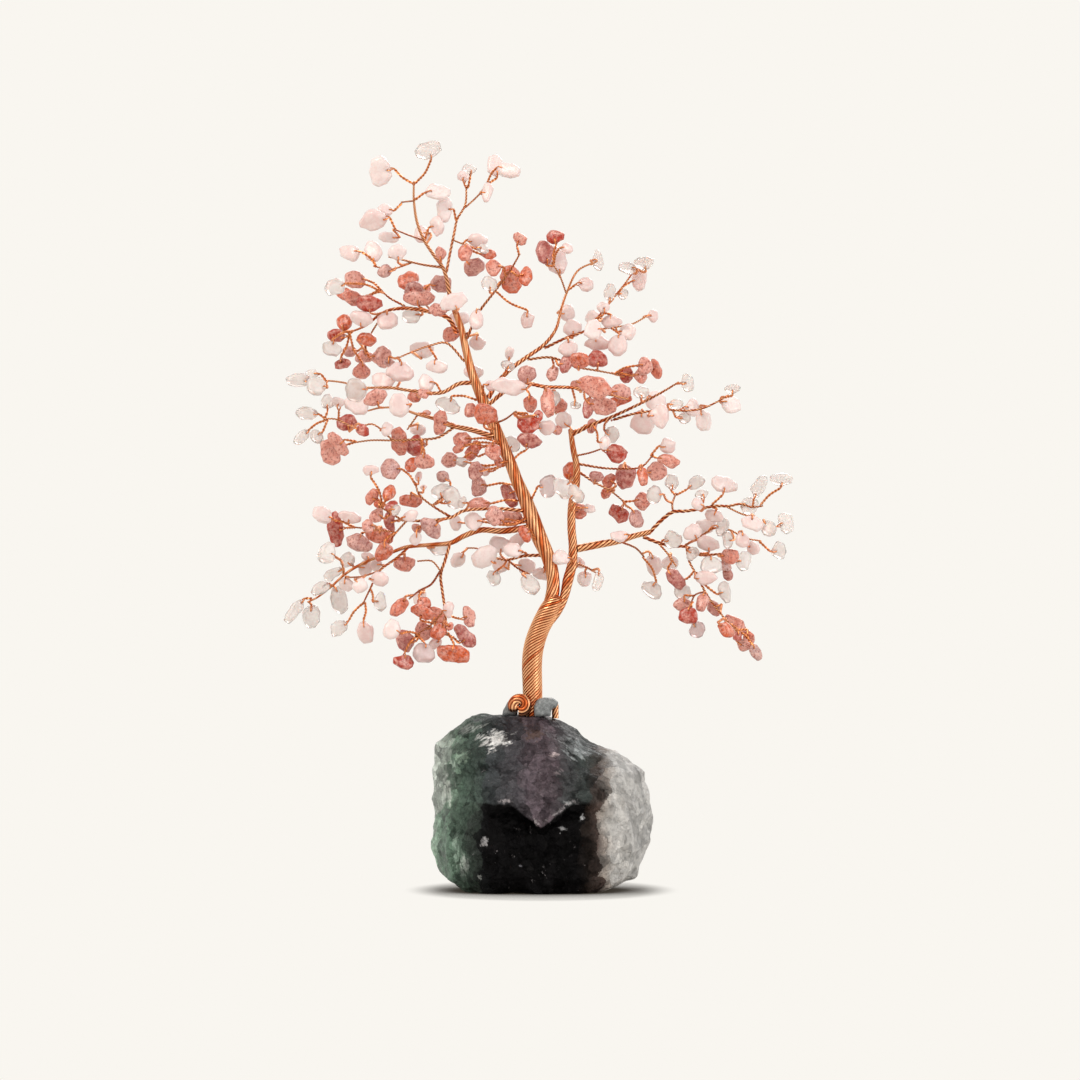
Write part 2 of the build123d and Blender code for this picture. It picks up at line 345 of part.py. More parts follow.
RED_CHIPS = {
    "centre": [
        (494, 269, 18, 15, 90), (511, 281, 28, 19, 100), (526, 278, 22, 12, 90), (520, 240, 16, 13, -20),
        (438, 309, 19, 14, 0), (450, 333, 17, 16, 45), (471, 410, 14, 13, 90), (486, 415, 24, 19, -10),
        (461, 439, 20, 15, 0), (476, 446, 16, 12, 90), (459, 449, 12, 10, 30), (471, 452, 16, 13, 60),
        (450, 459, 18, 15, 0), (493, 452, 18, 15, 90), (498, 462, 10, 9, 0), (476, 470, 19, 16, 90),
        (478, 487, 19, 15, 100), (508, 495, 24, 14, -60), (528, 425, 21, 17, 0), (530, 440, 26, 16, -20),
        (538, 418, 14, 9, 90), (557, 430, 10, 8, 0), (479, 504, 21, 11, 0), (495, 517, 20, 18, -30),
        (511, 518, 21, 17, 0), (525, 534, 17, 10, -55)],
    "right_mid": [
        (527, 375, 19, 16, 0), (530, 404, 18, 14, 90), (548, 405, 29, 14, 100), (559, 406, 17, 16, 0),
        (578, 384, 18, 12, 20), (595, 389, 38, 20, -15), (622, 392, 20, 16, 0), (618, 401, 27, 12, 15),
        (603, 407, 25, 17, -10), (588, 409, 21, 9, 85), (593, 426, 14, 9, 80), (617, 454, 24, 18, -10),
        (627, 476, 26, 19, 100), (641, 477, 18, 10, 100), (657, 471, 22, 17, 0), (669, 461, 21, 12, -15),
        (571, 470, 17, 15, 90), (597, 477, 13, 11, -20), (610, 480, 18, 11, 60), (606, 493, 14, 12, 60),
        (642, 501, 20, 13, 90), (619, 513, 19, 17, -30), (636, 519, 17, 14, -70), (580, 512, 16, 15, 0)],
    "left_mid": [
        (377, 399, 26, 16, 20), (413, 395, 14, 12, 0), (425, 395, 12, 10, 0), (388, 362, 12, 10, 0),
        (346, 422, 20, 15, 15), (365, 431, 16, 13, -10), (331, 452, 26, 19, -65), (340, 445, 27, 12, -55),
        (398, 442, 27, 17, 100), (416, 445, 24, 17, 90), (425, 461, 20, 15, 0), (413, 465, 18, 13, 45),
        (441, 423, 26, 14, 85), (427, 414, 10, 8, 0)],
    "left_low": [
        (392, 470, 21, 19, 90), (374, 497, 17, 12, 60), (391, 494, 15, 10, 70), (411, 501, 23, 13, 0),
        (392, 506, 14, 12, 30), (380, 504, 9, 8, 0), (379, 515, 15, 12, 60), (391, 522, 19, 10, -80),
        (336, 529, 35, 15, 95), (370, 526, 14, 13, 0), (380, 536, 27, 16, -10), (360, 543, 27, 16, -10),
        (385, 552, 20, 18, 90), (432, 528, 25, 15, -50), (443, 476, 14, 12, -40), (417, 529, 10, 8, -60)],
    "crown": [
        (386, 272, 14, 12, 0), (441, 254, 13, 12, 90), (466, 254, 16, 14, 90), (473, 267, 21, 19, 45),
        (490, 254, 15, 12, 0)],
    "upper_left": [
        (355, 279, 20, 19, 90), (345, 293, 20, 13, -20), (352, 297, 19, 15, 0), (370, 303, 27, 15, 0),
        (407, 277, 23, 18, 20), (413, 290, 22, 19, 60), (425, 285, 10, 9, 0), (440, 282, 20, 17, 0),
        (419, 297, 34, 14, -5), (342, 320, 16, 15, 90), (335, 334, 17, 13, 0), (346, 348, 14, 12, 0),
        (367, 339, 20, 13, 0), (379, 355, 21, 20, 90), (361, 353, 20, 14, 0), (341, 363, 18, 12, 10),
        (359, 369, 18, 15, 0)],
    "lower_left": [(404, 563, 22, 16, -5)],
    "left_sprig": [
        (401, 606, 22, 14, 55), (407, 640, 23, 17, 90), (405, 660, 22, 14, -10), (424, 611, 24, 14, -15),
        (436, 614, 22, 16, -25), (426, 603, 16, 13, -45), (425, 630, 18, 15, 100), (440, 631, 16, 13, 60),
        (470, 617, 24, 14, -80), (466, 636, 27, 13, -45), (454, 653, 30, 17, -5), (451, 625, 10, 8, 60)],
    "upper_right": [
        (545, 251, 24, 17, 95), (556, 236, 18, 12, 0), (566, 365, 17, 11, 90), (579, 361, 20, 16, 0),
        (598, 358, 20, 18, 0), (628, 374, 17, 14, 90), (641, 375, 14, 12, 90), (645, 365, 18, 14, 90),
        (657, 366, 21, 11, 100), (553, 373, 15, 12, 90)],
    "right_limb": [
        (677, 579, 24, 13, -50), (731, 556, 20, 15, 0), (726, 566, 13, 9, 0), (729, 574, 13, 9, -60)],
    "right_sprig": [
        (683, 604, 19, 13, -10), (688, 615, 20, 15, -10), (702, 602, 18, 12, 80), (716, 609, 19, 14, -60),
        (736, 625, 24, 16, -35), (724, 628, 18, 12, -35), (737, 636, 10, 9, 0), (744, 645, 13, 11, -30),
        (750, 640, 18, 11, 100), (755, 652, 17, 10, -60)],
}

# Chip outlines as shares of half the length and half the breadth
CHIP_OUTLINE_SHARES = [
    [(1, -0.4), (0.97, 0.42), (0.45, 1), (-0.4, 1), (-0.95, 0.5), (-1, -0.3), (-0.5, -0.95), (0.45, -0.98)],
    [(1, -0.3), (1, 0.35), (0.3, 1), (-0.35, 1), (-0.92, 0.25), (-0.98, -0.4), (-0.3, -1), (0.6, -0.85)],
    [(1, -0.45), (0.98, 0.3), (0.5, 1), (-0.3, 0.98), (-1, 0.35), (-0.85, -0.6), (-0.1, -1), (0.7, -0.9)],
    [(1, -0.25), (0.98, 0.5), (0.35, 0.98), (-0.45, 1), (-0.97, 0.6), (-0.9, -0.45), (-0.2, -0.9),
     (0.5, -1)],
]

# Where a twig may leave its stem, and how its chip may lie, tried in order until one place is clear
TWIG_STEP = 1.1
TWIG_SHORTEST = 1.9
TWIG_BENT_FROM = 6.0
TWIG_BOW_SHARE = 0.07
DEPTH_STEP = 1.3
DEPTH_TRIES = 16
SPOT_TRIES = 30
DEPTH_SPREAD_SHARE = 0.9
GOLDEN_SHARE = 0.618034
STRAIGHT_PULL_SHARE = 0.25
CHIP_LEANS = [(12, -16), (-18, 10), (22, 14), (-10, -22), (6, 20), (-24, -8), (16, 4)]


def place_px(x, y, depth):
    """The point behind a picture pixel, at a depth behind the middle of the tree."""
    return np.array([(x - MIDDLE_PX) * PIXEL, depth, (GROUND_PX - y) * PIXEL])


def unit(vector):
    return vector / np.linalg.norm(vector)


def nearest_on(stem, point):
    """The point of a stem's centre line nearest to a point in the picture plane, its radius and its way."""
    best = None
    for start, end, r_start, r_end in zip(stem["at"], stem["at"][1:], stem["r"], stem["r"][1:]):
        run = (end - start)[[0, 2]]
        along = np.clip(np.dot(point[[0, 2]] - start[[0, 2]], run) / np.dot(run, run), 0, 1)
        spot = start + along * (end - start)
        miss = np.linalg.norm((spot - point)[[0, 2]])
        if best is None or miss < best[0]:
            best = (miss, spot, r_start + along * (r_end - r_start), unit(end - start))
    return best[1:]


def leave_stem(spot, radius, way, aim, own_radius, gap):
    """Where a branch starts beside its stem's surface on its way to aim."""
    pull = aim - spot
    side = pull - way * np.dot(pull, way)
    out = np.linalg.norm(side)
    lift = own_radius * abs(np.dot(pull, way)) / np.linalg.norm(pull)
    return spot + side / out * (radius + gap + lift)


def grow_stems(foot_height):
    """Centres and radii of every stem, each one starting at the stem that carries it."""
    grown = {}
    for name, (body, carrier, from_tip, tip_share, row) in STEMS.items():
        radii = [width * PIXEL / 2 for x, y, width in row]
        first_depth = 0.0
        if carrier:
            spot, radius, way = nearest_on(grown[carrier], place_px(row[0][0], row[0][1], 0.0))
            first_depth = spot[1]
        tip_depth = tip_share * CANOPY_REACH
        steps = [math.dist(a[:2], b[:2]) for a, b in zip(row, row[1:])]
        gone = [sum(steps[:count]) / sum(steps) for count in range(len(row))]
        at = [place_px(x, y, first_depth + share * (tip_depth - first_depth))
              for (x, y, width), share in zip(row, gone)]
        if not carrier:
            at[0][2] = foot_height + SEAT_GAP
        else:
            gap = SEAT_GAP if grown[carrier]["body"] == body else HINGE_GAP
            if from_tip:
                before, tip = grown[carrier]["at"][-2:]
                at[0] = tip + unit(tip - before) * gap
            else:
                at[0] = leave_stem(spot, radius, way, at[1], radii[0], gap)
        grown[name] = {"body": body, "at": at, "r": radii}
    return grown


class Clearance:
    """Balls that fill every wire and chip hung so far, and how far each one can sway on its hinges."""

    def __init__(self, hinges):
        self.hinges = hinges
        self.balls = np.zeros((0, 4))
        self.sway = np.zeros((0, len(hinges)))
        self.slip = np.zeros((0, len(hinges)))
        self.moved = np.zeros((0, len(hinges)), bool)
        self.owner = np.zeros(0, int)

    def travel(self, balls, body):
        """Depth sway and sideways slip of balls on one body, for each hinge that carries it."""
        sway = np.zeros((len(balls), len(self.hinges)))
        slip = np.zeros((len(balls), len(self.hinges)))
        moved = np.zeros(len(self.hinges), bool)
        give = math.radians(BEND)
        for index, (hinged, pivot, axis) in enumerate(self.hinges):
            if hinged in (body, CARRIED_BY.get(body)):
                moved[index] = True
                off = balls[:, :3] - pivot
                reach = np.abs(off[:, 0] * axis[2] - off[:, 2] * axis[0])
                sway[:, index] = reach * math.sin(give)
                slip[:, index] = np.abs(off[:, 1]) * math.sin(give) + reach * (1 - math.cos(give))
        return sway, slip, moved

    def add(self, balls, body, owner):
        sway, slip, moved = self.travel(balls, body)
        self.balls = np.vstack([self.balls, balls])
        self.sway = np.vstack([self.sway, sway])
        self.slip = np.vstack([self.slip, slip])
        self.moved = np.vstack([self.moved, np.tile(moved, (len(balls), 1))])
        self.owner = np.append(self.owner, np.full(len(balls), owner))

    def pick(self, keep):
        """The same record with some of its balls only."""
        part = Clearance(self.hinges)
        part.balls, part.sway, part.slip = self.balls[keep], self.sway[keep], self.slip[keep]
        part.moved, part.owner = self.moved[keep], self.owner[keep]
        return part

    def around(self, balls, body):
        """What hangs so near in the picture plane that it might touch balls, whatever their depth."""
        slip = self.travel(balls, body)[1].sum(axis=1).max()
        shift = 2 * math.sin(math.radians(BEND)) * DEPTH_STEP * DEPTH_TRIES
        reach = self.balls[:, 3] + self.slip.sum(axis=1) + balls[:, 3].max() + AIR_GAP + slip + shift
        low = balls[:, [0, 2]].min(axis=0)
        high = balls[:, [0, 2]].max(axis=0)
        near = np.all(self.balls[:, [0, 2]] > low - reach[:, None], axis=1)
        near &= np.all(self.balls[:, [0, 2]] < high + reach[:, None], axis=1)
        return self.pick(near)

    def is_free(self, balls, body, gap):
        """True if no ball comes within the gap of what hangs already, over every hinge's range."""
        sway, slip, moved = self.travel(balls, body)
        off = balls[:, None, :3] - self.balls[None, :, :3]
        touch = balls[:, None, 3] + self.balls[None, :, 3] + gap
        still = np.linalg.norm(off, axis=2) > touch
        together = (self.moved == moved).all(axis=1)
        if together.all():
            return bool(still.all())
        rel_sway = sway @ (~self.moved).T + (self.sway @ ~moved)[None, :]
        rel_slip = slip @ (~self.moved).T + (self.slip @ ~moved)[None, :]
        flat = np.hypot(off[..., 0], off[..., 2])
        swung = (flat > touch + rel_slip) | (np.abs(off[..., 1]) > touch + rel_sway)
        return bool(np.where(together[None, :], still, swung).all())


def balls_along(points, radii, step):
    """Balls spaced evenly along a bent wire."""
    balls = []
    for start, end, r_start, r_end in zip(points, points[1:], radii, radii[1:]):
        count = max(1, int(np.linalg.norm(end - start) / step))
        for part in range(count + 1):
            along = part / count
            balls.append([*(start + along * (end - start)), r_start + along * (r_end - r_start)])
    return np.array(balls)


def stem_spots(names, stems):
    """Every spot of some stems where a twig may leave: its place, radius, way, nearest bend and stem."""
    spots = []
    for name in names:
        stem = stems[name]
        for start, end, r_start, r_end in zip(stem["at"], stem["at"][1:], stem["r"], stem["r"][1:]):
            run = np.linalg.norm(end - start)
            count = max(1, int(run / TWIG_STEP))
            for part in range(count):
                along = (part + 0.5) / count
                bend = run * min(along, 1 - along)
                radius = r_start + along * (r_end - r_start)
                spots.append([*(start + along * (end - start)), radius, *unit(end - start), bend,
                              list(STEMS).index(name)])
    return np.array(spots)


def to_grade(size_px):
    """A chip's size from its pixels, to the nearest grade, and up from anywhere about half way."""
    return math.floor(size_px * PIXEL / CHIP_GRADE + 0.51) * CHIP_GRADE


def chip_sizes(length_px, breadth_px):
    """Length, breadth and thickness of a chip from its size in the picture, rounded to its grade."""
    length, breadth = to_grade(length_px), to_grade(breadth_px)
    thickness = min(CHIP_THICKNESS, max(CHIP_THINNEST, breadth / 2))
    return length, breadth, thickness


def chip_outline(length, breadth):
    """The corners of a chip's outline, whose pattern goes by its size."""
    pattern = round((length + breadth) / CHIP_GRADE) % len(CHIP_OUTLINE_SHARES)
    return [np.array([x * length / 2, y * breadth / 2]) for x, y in CHIP_OUTLINE_SHARES[pattern]]


def hole_place(length, breadth, by_end):
    """Where a chip is drilled: near one end, or near the middle of one side."""
    return np.array([length / 2 - HOLE_INSET, 0] if by_end else [0, breadth / 2 - HOLE_INSET])


def chip_bevel(length, breadth, by_end):
    """The bevel round both faces of a chip, less on a narrow one and clear of its hole."""
    outline = chip_outline(length, breadth)
    hole = hole_place(length, breadth, by_end)
    walls = []
    for corner, following in zip(outline, outline[1:] + outline[:1]):
        side, off = unit(following - corner), hole - corner
        walls.append(abs(side[0] * off[1] - side[1] * off[0]) - HOLE / 2)
    return min(CHIP_BEVEL, CHIP_BEVEL_SHARE * breadth * breadth / length, WALL_BEVEL_SHARE * min(walls))


def chip_axes(turn, lean):
    """A chip's own axes: along its length, across it, and out of its face."""
    first = math.radians(turn)
    length_way = np.array([math.cos(first), 0, math.sin(first)])
    face_way = np.array([0, -1.0, 0])
    across = np.cross(face_way, length_way)
    tip, roll = (math.tan(math.radians(angle)) for angle in lean)
    face_way = unit(face_way + roll * across + tip * length_way)
    length_way = unit(length_way - face_way * np.dot(length_way, face_way))
    return length_way, np.cross(face_way, length_way), face_way


def chip_balls(middle, axes, sizes):
    """Balls that fill a chip, in rows along its length."""
    length_way, across, face_way = axes
    length, breadth, thickness = sizes
    balls = []
    for along in (-1, -0.5, 0, 0.5, 1):
        for side in (-1, 0, 1):
            out = length_way * along * max(length - thickness, 0) / 2
            out = out + across * side * max(breadth - thickness, 0) / 2 * math.sqrt(1 - along * along / 2)
            balls.append([*(middle + out), thickness * CHIP_BALL_SHARE])
    return np.array(balls)


def hang_chip(index, row, body, spots, clearance):
    """Find a clear place for one chip and its twig, as near as can be to where the picture shows it."""
    x, y, length_px, breadth_px, turn = row
    sizes = chip_sizes(length_px, breadth_px)
    axes = chip_axes(turn, CHIP_LEANS[index % len(CHIP_LEANS)])
    middle = place_px(x, y, 0.0)
    off = middle[[0, 2]] - spots[:, [0, 2]]
    flat = np.hypot(off[:, 0], off[:, 1])
    forward = (off * spots[:, [4, 6]]).sum(axis=1) / np.maximum(flat, WIRE)
    best = np.argsort(flat * (1.3 - 0.3 * forward) + spots[:, 7] / 2)[:SPOT_TRIES]
    filled = chip_balls(middle, axes, sizes)
    local = clearance.around(np.vstack([filled, spots[best, :4]]), body)
    for spot in spots[best]:
        spread = DEPTH_SPREAD_SHARE * np.linalg.norm(middle[[0, 2]] - spot[[0, 2]]) + 2 * CHIP_THICKNESS
        wish = spot[1] + ((index * GOLDEN_SHARE) % 1 - 0.5) * spread
        for shift in sorted(range(-DEPTH_TRIES, DEPTH_TRIES + 1), key=abs):
            depth = np.array([0, wish + shift * DEPTH_STEP, 0])
            found = try_chip(index, middle + depth, axes, sizes, spot, body, local)
            if found:
                clearance.add(found["balls"], body, len(STEMS))
                return found
    return None


def try_chip(index, middle, axes, sizes, spot, body, local):
    """The chip's place and its twig's bends if all of them are clear, or None."""
    length_way, across, face_way = axes
    length, breadth, thickness = sizes
    start, radius, way = spot[:3], spot[3], spot[4:7]
    pull = start - middle
    by_end = abs(np.dot(pull, length_way)) / length >= abs(np.dot(pull, across)) / breadth
    if np.dot(pull, length_way if by_end else across) < 0:
        length_way, across = -length_way, -across
    outward = length_way if by_end else across
    rim = (length if by_end else breadth) / 2
    eye = middle + outward * (rim + EYE_REACH)
    off = start - eye
    if np.dot(off, outward) < STRAIGHT_PULL_SHARE * np.linalg.norm(off):
        return None
    start = leave_stem(start, radius, way, eye, TWIG / 2, SEAT_GAP)
    run = np.linalg.norm(eye - start)
    if run < TWIG_SHORTEST:
        return None
    hole = middle + outward * (rim - HOLE_INSET)
    leg = thickness / 2 + EYE_GAP
    balls = chip_balls(middle, (length_way, across, face_way), sizes)
    eye_balls = [[*(hole + face_way * leg * side), EYE_GAP] for side in (-1, 1)]
    balls = np.vstack([balls, eye_balls, [*(eye - outward * WIRE), WIRE]])
    if not local.is_free(balls, body, AIR_GAP):
        return None
    end = eye + (start - eye) / run * WIRE
    points = [start, end]
    if run > TWIG_BENT_FROM:
        bow = unit(np.cross(end - start, face_way)) * run * TWIG_BOW_SHARE * (-1) ** index
        points = [start, (start + end) / 2 + bow, end]
    twig = balls_along(points, [TWIG / 2] * len(points), WIRE * 2)
    at_root = np.linalg.norm(twig[:, :3] - start, axis=1) < 3 * TWIG
    if not local.pick(local.owner != int(spot[8])).is_free(twig[at_root], body, SEAT_GAP):
        return None
    if not local.is_free(twig[~at_root], body, AIR_GAP):
        return None
    plane = Plane(origin=tuple(middle), x_dir=tuple(length_way), z_dir=tuple(face_way))
    return {"plane": plane, "by_end": bool(by_end), "sizes": sizes, "twig": points,
            "balls": np.vstack([balls, twig])}


def make_chip(length, breadth, thickness, by_end):
    """One tumbled chip: a slab bevelled round both faces and drilled through."""
    bevel = chip_bevel(length, breadth, by_end)
    with BuildPart() as chip:
        with BuildSketch(Plane.XY.offset(-thickness / 2)):
            Polygon(*[tuple(corner) for corner in chip_outline(length, breadth)], align=None)
            with Locations(tuple(hole_place(length, breadth, by_end))):
                Circle(HOLE / 2, mode=Mode.SUBTRACT)
        extrude(amount=thickness)
        flats = chip.faces().filter_by(Axis.Z)
        chamfer(flats[0].outer_wire().edges() + flats[1].outer_wire().edges(), bevel)
    return chip.part.solid()


def make_eye(length, breadth, thickness, by_end):
    """The wire eye of one chip: through its hole and round its rim, to where both ends meet the twig."""
    rim = (length if by_end else breadth) / 2
    leg = thickness / 2 + EYE_GAP + WIRE / 2
    bevel = chip_bevel(length, breadth, by_end)
    bends = [(rim + EYE_REACH, WIRE * 0.6), (rim - bevel + EYE_GAP, leg), (rim - HOLE_INSET, leg)]
    bends += [(out, -up) for out, up in reversed(bends)]
    return make_wire([(out, 0, up) if by_end else (0, out, up) for out, up in bends], WIRE / 2)


def make_wire(points, radius):
    """A round wire along straight runs with mitred bends."""
    with BuildPart() as wire:
        with BuildLine() as path:
            Polyline(*points)
        with BuildSketch(Plane(origin=path.line @ 0, z_dir=path.line % 0)):
            Circle(radius)
        if len(points) > 2:
            sweep(transition=Transition.RIGHT)
        else:
            extrude(amount=math.dist(*points))
    return wire.part.solid()


def make_stem(points, radii, first_way=None, last_way=None):
    """A tapering rope: circles at its bends, each square to the turn there, joined by straight skins."""
    ways = [unit(b - a) for a, b in zip(points, points[1:])]
    turns = [ways[0] if first_way is None else first_way]
    turns += [unit(a + b) for a, b in zip(ways, ways[1:])]
    turns += [ways[-1] if last_way is None else last_way]
    with BuildPart() as stem:
        for point, way, radius in zip(points, turns, radii):
            depth_way = unit(np.array([0, 1.0, 0]) - way * way[1])
            with BuildSketch(Plane(origin=tuple(point), x_dir=tuple(depth_way), z_dir=tuple(way))):
                Circle(radius)
        loft(ruled=True)
    return stem.part.solid()


def make_stone():
    """The raw block: broken flats between rings of corners, and a socket drilled for the trunk."""
    rings = [[tuple(place_px(x, y, back * STONE_DEPTH / 2)) for x, y, back in ring]
             for ring in STONE_RINGS_PX]
    flats = [Face(Wire.make_polygon(rings[0])), Face(Wire.make_polygon(rings[-1]))]
    for level, (below, above) in enumerate(zip(rings, rings[1:])):
        for index in range(len(below)):
            after = (index + 1) % len(below)
            a, b, c, d = below[index], below[after], above[after], above[index]
            halves = [(a, b, c), (a, c, d)] if (level + index) % 2 else [(a, b, d), (b, c, d)]
            flats += [Face(Wire.make_polygon(half)) for half in halves]
    block = Solid(Shell(flats))
    floor = place_px(TRUNK_PX[0][0], PLATEAU_PX, 0.0) - np.array([0, 0, SOCKET_DEPTH])
    with BuildPart() as stone:
        add(block)
        with Locations(tuple(floor)):
            Cylinder(SOCKET / 2, 2 * SOCKET_DEPTH, align=FROM_FLOOR, mode=Mode.SUBTRACT)
    return stone.part.solid()


def make_glue():
    """The bed of glue in the socket, under the trunk's foot."""
    floor = place_px(TRUNK_PX[0][0], PLATEAU_PX, 0.0) - np.array([0, 0, SOCKET_DEPTH])
    with BuildPart() as glue:
        with Locations(tuple(floor)):
            Cylinder((SOCKET - SOCKET_GAP) / 2, GLUE, align=FROM_FLOOR)
    return glue.part.solid()


def make_pebble(outline_px, back):
    """A pebble wedged beside the trunk, from its outline in the picture and the depth of its back."""
    with BuildPart() as pebble:
        with BuildSketch(Plane.XZ.offset(-back)):
            Polygon(*[tuple(place_px(x, y, 0.0)[[0, 2]]) for x, y in outline_px], align=None)
        extrude(amount=PEBBLE_DEPTH)
        chamfer(pebble.faces().filter_by(Axis.Y).edges(), PEBBLE_BEVEL)
    return pebble.part.solid()


def make_root_curl(front):
    """The bundle of wires bent round in front of the foot and down to the stone."""
    x, y, bend_px = ROOT_CURL_PX
    centre = place_px(x, y, front - SEAT_GAP - ROOT_CURL / 2)
    with BuildPart() as curl:
        with BuildLine(Plane(origin=tuple(centre), x_dir=(1, 0, 0), z_dir=(0, -1, 0))) as path:
            CenterArc((0, 0), bend_px * PIXEL, *ROOT_CURL_TURN)
        with BuildSketch(Plane(origin=path.line @ 0, z_dir=path.line % 0)):
            Circle(ROOT_CURL / 2)
        sweep()
    return curl.part.solid()


def write_node(name, solids):
    """One node: a part by itself, or a group of separate solids."""
    node = solids[0] if len(solids) == 1 else Compound(children=solids)
    node.label = name
    export_step(node, f"parts/{name}.step")


# The trunk, the foot and every stem
UPWARD = np.array([0, 0, 1.0])
FROM_FLOOR = (Align.CENTER, Align.CENTER, Align.MIN)
SOCKET = TRUNK_PX[0][2] * PIXEL + 2 * SOCKET_GAP
trunk_points = [place_px(x, y, 0.0) for x, y, width in TRUNK_PX]
trunk_points[0] = trunk_points[0] - np.array([0, 0, SOCKET_DEPTH - GLUE])
trunk_radii = [width * PIXEL / 2 for x, y, width in TRUNK_PX]
foot_front = -trunk_radii[0]
tail_points = [place_px(x, y, foot_front + SEAT_GAP) for x, y, width in ROOT_TAIL_PX]
tail_radii = [width * PIXEL / 2 for x, y, width in ROOT_TAIL_PX]
stems = grow_stems(trunk_points[-1][2])
nodes = {
    "base_stone": [make_stone()],
    "foot_glue": [make_glue()],
    "pebble_left": [make_pebble(PEBBLE_LEFT_PX, foot_front + SEAT_GAP + PEBBLE_DEPTH)],
    "pebble_right": [make_pebble(PEBBLE_RIGHT_PX, foot_front - SEAT_GAP)],
    "foot_root_curl": [make_root_curl(foot_front)],
    "root_tail": [make_stem(tail_points, tail_radii, UPWARD, UPWARD)],
    "trunk": [make_stem(trunk_points, trunk_radii, UPWARD, UPWARD)],
}
for name in LEADERS:
    nodes[name] = [make_stem(stems[name]["at"], stems[name]["r"], UPWARD)]

# What is in the way of the twigs and chips, and how each hinged limb carries them
hinges = [(body, stems[stem]["at"][0], np.array(axis)) for body, (stem, axis) in HINGES.items()]
clearance = Clearance(hinges)
for index, (name, stem) in enumerate(stems.items()):
    clearance.add(balls_along(stem["at"], stem["r"], min(stem["r"])), stem["body"], index)
clearance.add(balls_along(trunk_points, trunk_radii, TWIG), "tree", len(STEMS))

# Each group of chips, hung one at a time
shapes = {}
left_out = []
for group, carriers in GROUPS.items():
    body = group if group in HINGES else "tree"
    own_stems = [name for name in carriers if name not in LEADERS]
    nodes[f"{group}_stems"] = [make_stem(stems[name]["at"], stems[name]["r"]) for name in own_stems]
    nodes[f"{group}_twigs"] = []
    spots = stem_spots(carriers, stems)
    for kind, table in (("red", RED_CHIPS), ("pale", PALE_CHIPS)):
        chips = []
        for index, row in enumerate(table.get(group, [])):
            found = hang_chip(index, row, body, spots, clearance)
            if not found:
                left_out.append((group, kind, row))
                continue
            key = (*found["sizes"], found["by_end"])
            if key not in shapes:
                shapes[key] = (make_chip(*key), make_eye(*key))
            chip, eye = shapes[key]
            chips.append(chip.moved(found["plane"].location))
            nodes[f"{group}_twigs"].append(eye.moved(found["plane"].location))
            nodes[f"{group}_twigs"].append(make_wire([tuple(point) for point in found["twig"]], TWIG / 2))
        if chips:
            nodes[f"{group}_{kind}_chips"] = chips

os.makedirs("parts", exist_ok=True)
for name, solids in nodes.items():
    write_node(name, solids)
for body, pivot, axis in hinges:
    print("hinge of", body, "at", [round(float(value), 3) for value in pivot])
print("nodes", len(nodes), "chip shapes", len(shapes), "chips without a clear place", left_out)
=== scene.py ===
# %% [markdown]
# # A gemstone tree in Blender
# A small tree of twisted copper wire stands on a raw block of banded fluorite, and some three hundred
# drilled quartz chips hang at the ends of its twigs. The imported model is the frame: it says where each
# stem, twig, wire eye and chip is. This lesson gives every one of them its real form and finish.

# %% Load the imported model
import json
import math

import bpy
import numpy as np
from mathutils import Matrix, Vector, kdtree

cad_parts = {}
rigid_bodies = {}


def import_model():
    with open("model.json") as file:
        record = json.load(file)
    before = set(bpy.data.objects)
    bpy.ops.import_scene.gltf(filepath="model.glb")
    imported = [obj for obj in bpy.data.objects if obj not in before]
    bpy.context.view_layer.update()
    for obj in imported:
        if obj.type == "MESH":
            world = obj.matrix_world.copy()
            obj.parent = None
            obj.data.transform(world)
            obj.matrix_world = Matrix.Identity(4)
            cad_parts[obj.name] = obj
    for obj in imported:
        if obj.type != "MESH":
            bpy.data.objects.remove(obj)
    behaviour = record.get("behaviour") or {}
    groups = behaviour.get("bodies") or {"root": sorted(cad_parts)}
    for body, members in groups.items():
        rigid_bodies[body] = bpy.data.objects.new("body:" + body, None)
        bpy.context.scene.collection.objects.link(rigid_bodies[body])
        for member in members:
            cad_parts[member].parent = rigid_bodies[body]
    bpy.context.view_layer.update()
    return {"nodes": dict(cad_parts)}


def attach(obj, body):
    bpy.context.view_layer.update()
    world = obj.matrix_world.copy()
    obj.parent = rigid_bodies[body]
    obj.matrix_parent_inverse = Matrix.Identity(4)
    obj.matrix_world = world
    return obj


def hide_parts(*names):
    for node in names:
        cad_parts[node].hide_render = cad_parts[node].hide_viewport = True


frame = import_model()
MM = 0.001


def add_object(name, data):
    """An object made of some data, put in the scene."""
    made = bpy.data.objects.new(name, data)
    bpy.context.scene.collection.objects.link(made)
    return made


# %% [markdown]
# ## Camera
# The photograph is taken from straight in front, level with the middle of the tree. One pixel of its
# 1080 is 0.4 mm at the tree. A long lens keeps chips at the front and the back of the crown where the
# photograph shows them.

# %% Camera
TREE_HEIGHT = 299.2
TOP_PX = 142
GROUND_PX = 890
MIDDLE_PX = 541.5
PIXEL = TREE_HEIGHT / (GROUND_PX - TOP_PX)
PHOTO_PX = 1080
CAMERA_AWAY = 2400.0
SENSOR = 36.0
FARTHEST = 20.0
view_width = PHOTO_PX * PIXEL
camera_data = bpy.data.cameras.new("camera")
camera_data.sensor_width = SENSOR
camera_data.lens = SENSOR * CAMERA_AWAY / view_width
camera_data.clip_end = FARTHEST
camera = add_object("camera", camera_data)
aim_x = (PHOTO_PX / 2 - MIDDLE_PX) * PIXEL
aim_z = (GROUND_PX - PHOTO_PX / 2) * PIXEL
camera.location = Vector((aim_x, -CAMERA_AWAY, aim_z)) * MM
camera.rotation_euler = (math.radians(90), 0, 0)
bpy.context.scene.camera = camera
bpy.context.scene.view_settings.view_transform = "Standard"
print("lens", round(camera_data.lens, 1), "mm")

